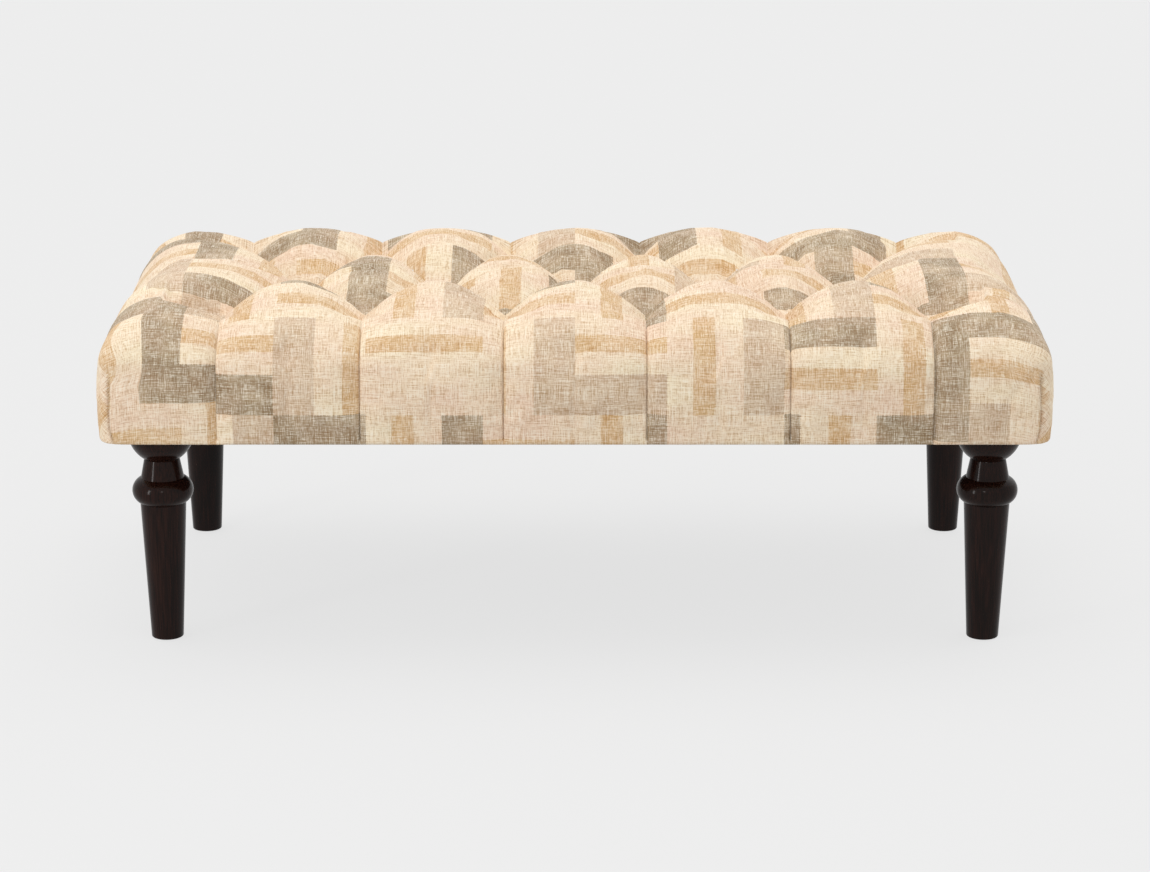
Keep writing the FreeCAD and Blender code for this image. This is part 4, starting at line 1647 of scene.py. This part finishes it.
    def make_staples(self) -> bpy.types.Object:
        """Makes all the staples of the sheet as one piece.

        Returns:
            The finished piece.
        """
        half, deep = self.crown / 2, self.staple_leg
        path = [(-half, 0.0, deep), (-half, 0.0, 0.0), (half, 0.0, 0.0), (half, 0.0, deep)]
        mesh = bpy.data.meshes.new("sheet_staples")
        mesh.from_pydata(path, [(0, 1), (1, 2), (2, 3)], [])
        staples = new_piece("sheet_staples", mesh, self.materials["zinc_steel"])
        values = {
            "Line X": self.high.x - self.staple_in,
            "Line Y": self.high.y - self.staple_in,
            "Pitch": self.staple_pitch,
            "Level": self.low.z - self.wire / 2,
            "Wire": self.wire,
            "Clear of legs": self.leg_clear,
            "Leg": tuple(self.leg),
            "Seed": self.seed,
            "Finish": self.materials["zinc_steel"],
        }
        self.staple_tree().run(staples, values)
        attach(staples, "frame")
        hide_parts("dust_cover_staples")
        return staples


@dataclass
class LegBolt:
    """One leg's hanger bolt: a shank with a rolled thread on its upper half."""

    corner: Corner
    material: bpy.types.Material
    core_radius: float = 0.0032
    ridge_radius: float = 0.00395
    pitch: float = 0.0254 / 18
    chamfer: float = 0.0012
    thread_length: float = 0.030
    tip: tuple[float, float] = (0.0006, 0.0004)
    point_length: float = 0.012
    collar: tuple[float, float, float, float] = (2.0, 1.6, 0.8, 0.4)
    ridge_share: float = 0.9
    ridge_sides: int = 4
    sides: int = 28

    def thread_tree(self) -> RepeatTree:
        """Makes the tree that winds a ridge round the shank.

        Returns:
            The tree, ready to run on the shank.
        """
        tree = RepeatTree("bolt_thread")
        graph = tree.graph
        turns, height = tree.named("Turns"), tree.named("Height")
        radius, ridge = tree.named("Radius"), tree.named("Ridge")
        place = tree.named("Place", "Vector")
        values = {
            "Resolution": self.sides,
            "Rotations": turns,
            "Start Radius": radius,
            "End Radius": radius,
            "Height": height,
        }
        wound = graph.add("GeometryNodeCurveSpiral", values).outputs[0]
        values = {"Resolution": self.ridge_sides, "Radius": ridge}
        profile = graph.add("GeometryNodeCurvePrimitiveCircle", values).outputs[0]
        values = {"Curve": wound, "Profile Curve": profile, "Fill Caps": True}
        thread = graph.add("GeometryNodeCurveToMesh", values).outputs[0]
        values = {"Geometry": thread, "Translation": place}
        moved = graph.add("GeometryNodeTransform", values).outputs[0]
        joined = graph.add("GeometryNodeJoinGeometry")
        tree.tree.links.new(moved, joined.inputs[0])
        tree.tree.links.new(tree.shape, joined.inputs[0])
        tree.close(joined.outputs[0])
        return tree

    def build(self) -> bpy.types.Object:
        """Makes the bolt and sets it on its leg's body.

        Returns:
            The finished piece.
        """
        node = f"hanger_bolt_{self.corner.value}"
        low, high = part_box(node)
        axis = (low + high) / 2
        ridge = (self.ridge_radius - self.core_radius) * self.ridge_share
        start = high.z - self.thread_length
        collar = [start - pitches * self.pitch for pitches in self.collar]
        outline = [
            (0.0, low.z),
            (self.tip[0], low.z + self.tip[1]),
            (self.core_radius, low.z + self.point_length),
            (self.core_radius, collar[0]),
            (self.ridge_radius, collar[1]),
            (self.ridge_radius, collar[2]),
            (self.core_radius, collar[3]),
            (self.core_radius, high.z - self.chamfer),
            (self.core_radius - self.chamfer / 2, high.z),
            (0.0, high.z),
        ]
        mesh = turned_mesh(node, outline, (axis.x, axis.y), self.sides)
        bolt = new_piece(f"threaded_{node}", mesh, self.material)
        length = self.thread_length - self.chamfer - ridge
        values = {
            "Turns": length / self.pitch,
            "Height": length,
            "Radius": self.ridge_radius - ridge,
            "Ridge": ridge,
            "Place": (axis.x, axis.y, start),
            "Finish": self.material,
        }
        self.thread_tree().run(bolt, values)
        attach(bolt, f"{self.corner.value}_leg")
        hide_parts(node)
        return bolt


@dataclass
class PlainNodes:
    """The frame's own nodes that keep their shape and only get a finish."""

    materials: dict[str, bpy.types.Material]

    def dress(self) -> None:
        """Gives each node the finish of its slot."""
        for part in frame["record"]["subparts"]:
            node = part["node"]
            data = frame["nodes"][node].data
            data.materials.clear()
            data.materials.append(self.materials[part["material_slot"]])


@dataclass
class Studio:
    """Floor, lights and camera as in the photograph."""

    camera_place: Triple = (0.0, -4.194, 1.346)
    pitch_down: float = 15.32
    focal_pixels: float = 3319.5
    sensor: float = 36.0
    floor_side: float = 60.0
    floor_shown: Color = linear(243, 243, 243)
    floor_lit: Color = linear(202, 202, 202)
    shadow_veil: float = 0.80
    sky: float = 0.74
    sky_shown: float = 0.84
    panel_target: Triple = (0.0, 0.0, 0.2)

    def build(self) -> None:
        """Makes the floor, the lights and the camera."""
        self.make_floor()
        self.make_world()
        self.make_sun("key_sun", toward=(-0.10, 0.18, 1.0), strength=0.92, spread=60.0)
        self.make_sun("rim_sun", toward=(0.45, 0.65, 0.8), strength=0.32, spread=70.0)
        self.make_panel("left_panel", place=(-3.0, -2.4, 1.15), size=(0.42, 1.7), watts=22.0)
        self.make_panel("front_panel", place=(-0.4, -2.9, 1.7), size=(0.25, 0.25), watts=3.0)
        self.make_camera()
        bpy.context.scene.view_settings.view_transform = "Standard"

    def make_floor(self) -> None:
        """Makes a pale floor that fills the picture, keeps a faint shadow and is clear from below."""
        half = self.floor_side / 2
        mesh = bpy.data.meshes.new("floor")
        corners = [(-half, -half, 0.0), (half, -half, 0.0), (half, half, 0.0), (-half, half, 0.0)]
        mesh.from_pydata(corners, [], [(0, 1, 2, 3)])
        finish = Finish("floor_paint")
        finish.set(Base_Color=self.floor_lit, Roughness=0.9, Specular_IOR_Level=0.0)
        graph = finish.graph
        seen = self.seen_directly(graph)
        pale = graph.add("ShaderNodeEmission", {"Color": self.floor_shown, "Strength": 1.0})
        veil = graph.math("MULTIPLY", seen, self.shadow_veil)
        values = {0: veil, 1: finish.shader.outputs[0], 2: pale.outputs[0]}
        mixed = graph.add("ShaderNodeMixShader", values).outputs[0]
        below = graph.add("ShaderNodeNewGeometry").outputs["Backfacing"]
        clear = graph.add("ShaderNodeBsdfTransparent")
        shown = graph.add("ShaderNodeMixShader", {0: below, 1: mixed, 2: clear.outputs[0]}).outputs[0]
        graph.feed(finish.material.node_tree.nodes["Material Output"].inputs[0], shown)
        new_piece("floor", mesh, finish.material)

    @staticmethod
    def seen_directly(graph: Graph) -> bpy.types.NodeSocket:
        """Which rays come straight from the camera, or by way of gloss or glass.

        Args:
            graph: The graph that asks.

        Returns:
            1 for such a ray and 0 for any other.
        """
        path = graph.add("ShaderNodeLightPath").outputs
        seen = graph.math("MAXIMUM", path["Is Camera Ray"], path["Is Glossy Ray"])
        return graph.math("MAXIMUM", seen, path["Is Transmission Ray"])

    def make_world(self) -> None:
        """Makes an even pale sky, which the camera sees in the floor's colour."""
        world = bpy.data.worlds.new("studio_sky")
        world.use_nodes = True
        graph = Graph(world.node_tree)
        background = world.node_tree.nodes["Background"]
        graph.feed(background.inputs["Color"], (1.0, 1.0, 1.0, 1.0))
        seen = self.seen_directly(graph)
        shown = graph.remap(seen, 0.0, 1.0, self.sky, self.sky_shown)
        graph.feed(background.inputs["Strength"], shown)
        bpy.context.scene.world = world

    @staticmethod
    def add_light(data: bpy.types.Light, way: Vector) -> bpy.types.Object:
        """Adds a light that shines one way.

        Args:
            data: The light's settings.
            way: The way that it shines.

        Returns:
            The light, at the origin.
        """
        light = bpy.data.objects.new(data.name, data)
        light.rotation_euler = way.to_track_quat("-Z", "Y").to_euler()
        bpy.context.scene.collection.objects.link(light)
        return light

    def make_sun(self, name: str, toward: Triple, strength: float, spread: float) -> None:
        """Makes one broad soft light that comes from far away.

        Args:
            name: The light's name.
            toward: The way from the object to the light.
            strength: Its strength.
            spread: How wide it is in the sky, in degrees.
        """
        data = bpy.data.lights.new(name, "SUN")
        data.energy = strength
        data.angle = math.radians(spread)
        self.add_light(data, -Vector(toward))

    def make_panel(self, name: str, place: Triple, size: tuple[float, float], watts: float) -> None:
        """Makes one small bright panel, which shows as a highlight on the lacquered legs.

        Args:
            name: The panel's name.
            place: Its middle.
            size: Its width and height.
            watts: Its power.
        """
        data = bpy.data.lights.new(name, "AREA")
        data.shape = "RECTANGLE"
        data.size, data.size_y = size
        data.energy = watts
        panel = self.add_light(data, Vector(self.panel_target) - Vector(place))
        panel.location = place
        panel.visible_camera = False

    def make_camera(self) -> None:
        """Makes the camera at the photograph's angle."""
        data = bpy.data.cameras.new("photo_camera")
        data.sensor_width = self.sensor
        data.lens = self.focal_pixels / IMAGE_WIDTH * self.sensor
        camera = bpy.data.objects.new("photo_camera", data)
        camera.location = self.camera_place
        camera.rotation_euler = (math.radians(90 - self.pitch_down), 0.0, 0.0)
        bpy.context.scene.collection.objects.link(camera)
        bpy.context.scene.camera = camera


def main() -> None:
    """Builds every sub-assembly in order and reports each piece."""
    logging.basicConfig(level=logging.INFO, format="%(name)s: %(message)s")
    Studio().build()
    materials = finishes()
    PlainNodes(materials).dress()
    TuftedSeat(materials).build()
    DustCover(materials).build()
    for corner in Corner:
        for piece in (
            TurnedLeg(corner, materials["espresso_wood"]).build(),
            LegBolt(corner, materials["zinc_steel"]).build(),
        ):
            report(piece)


if __name__ == "__main__":
    main()
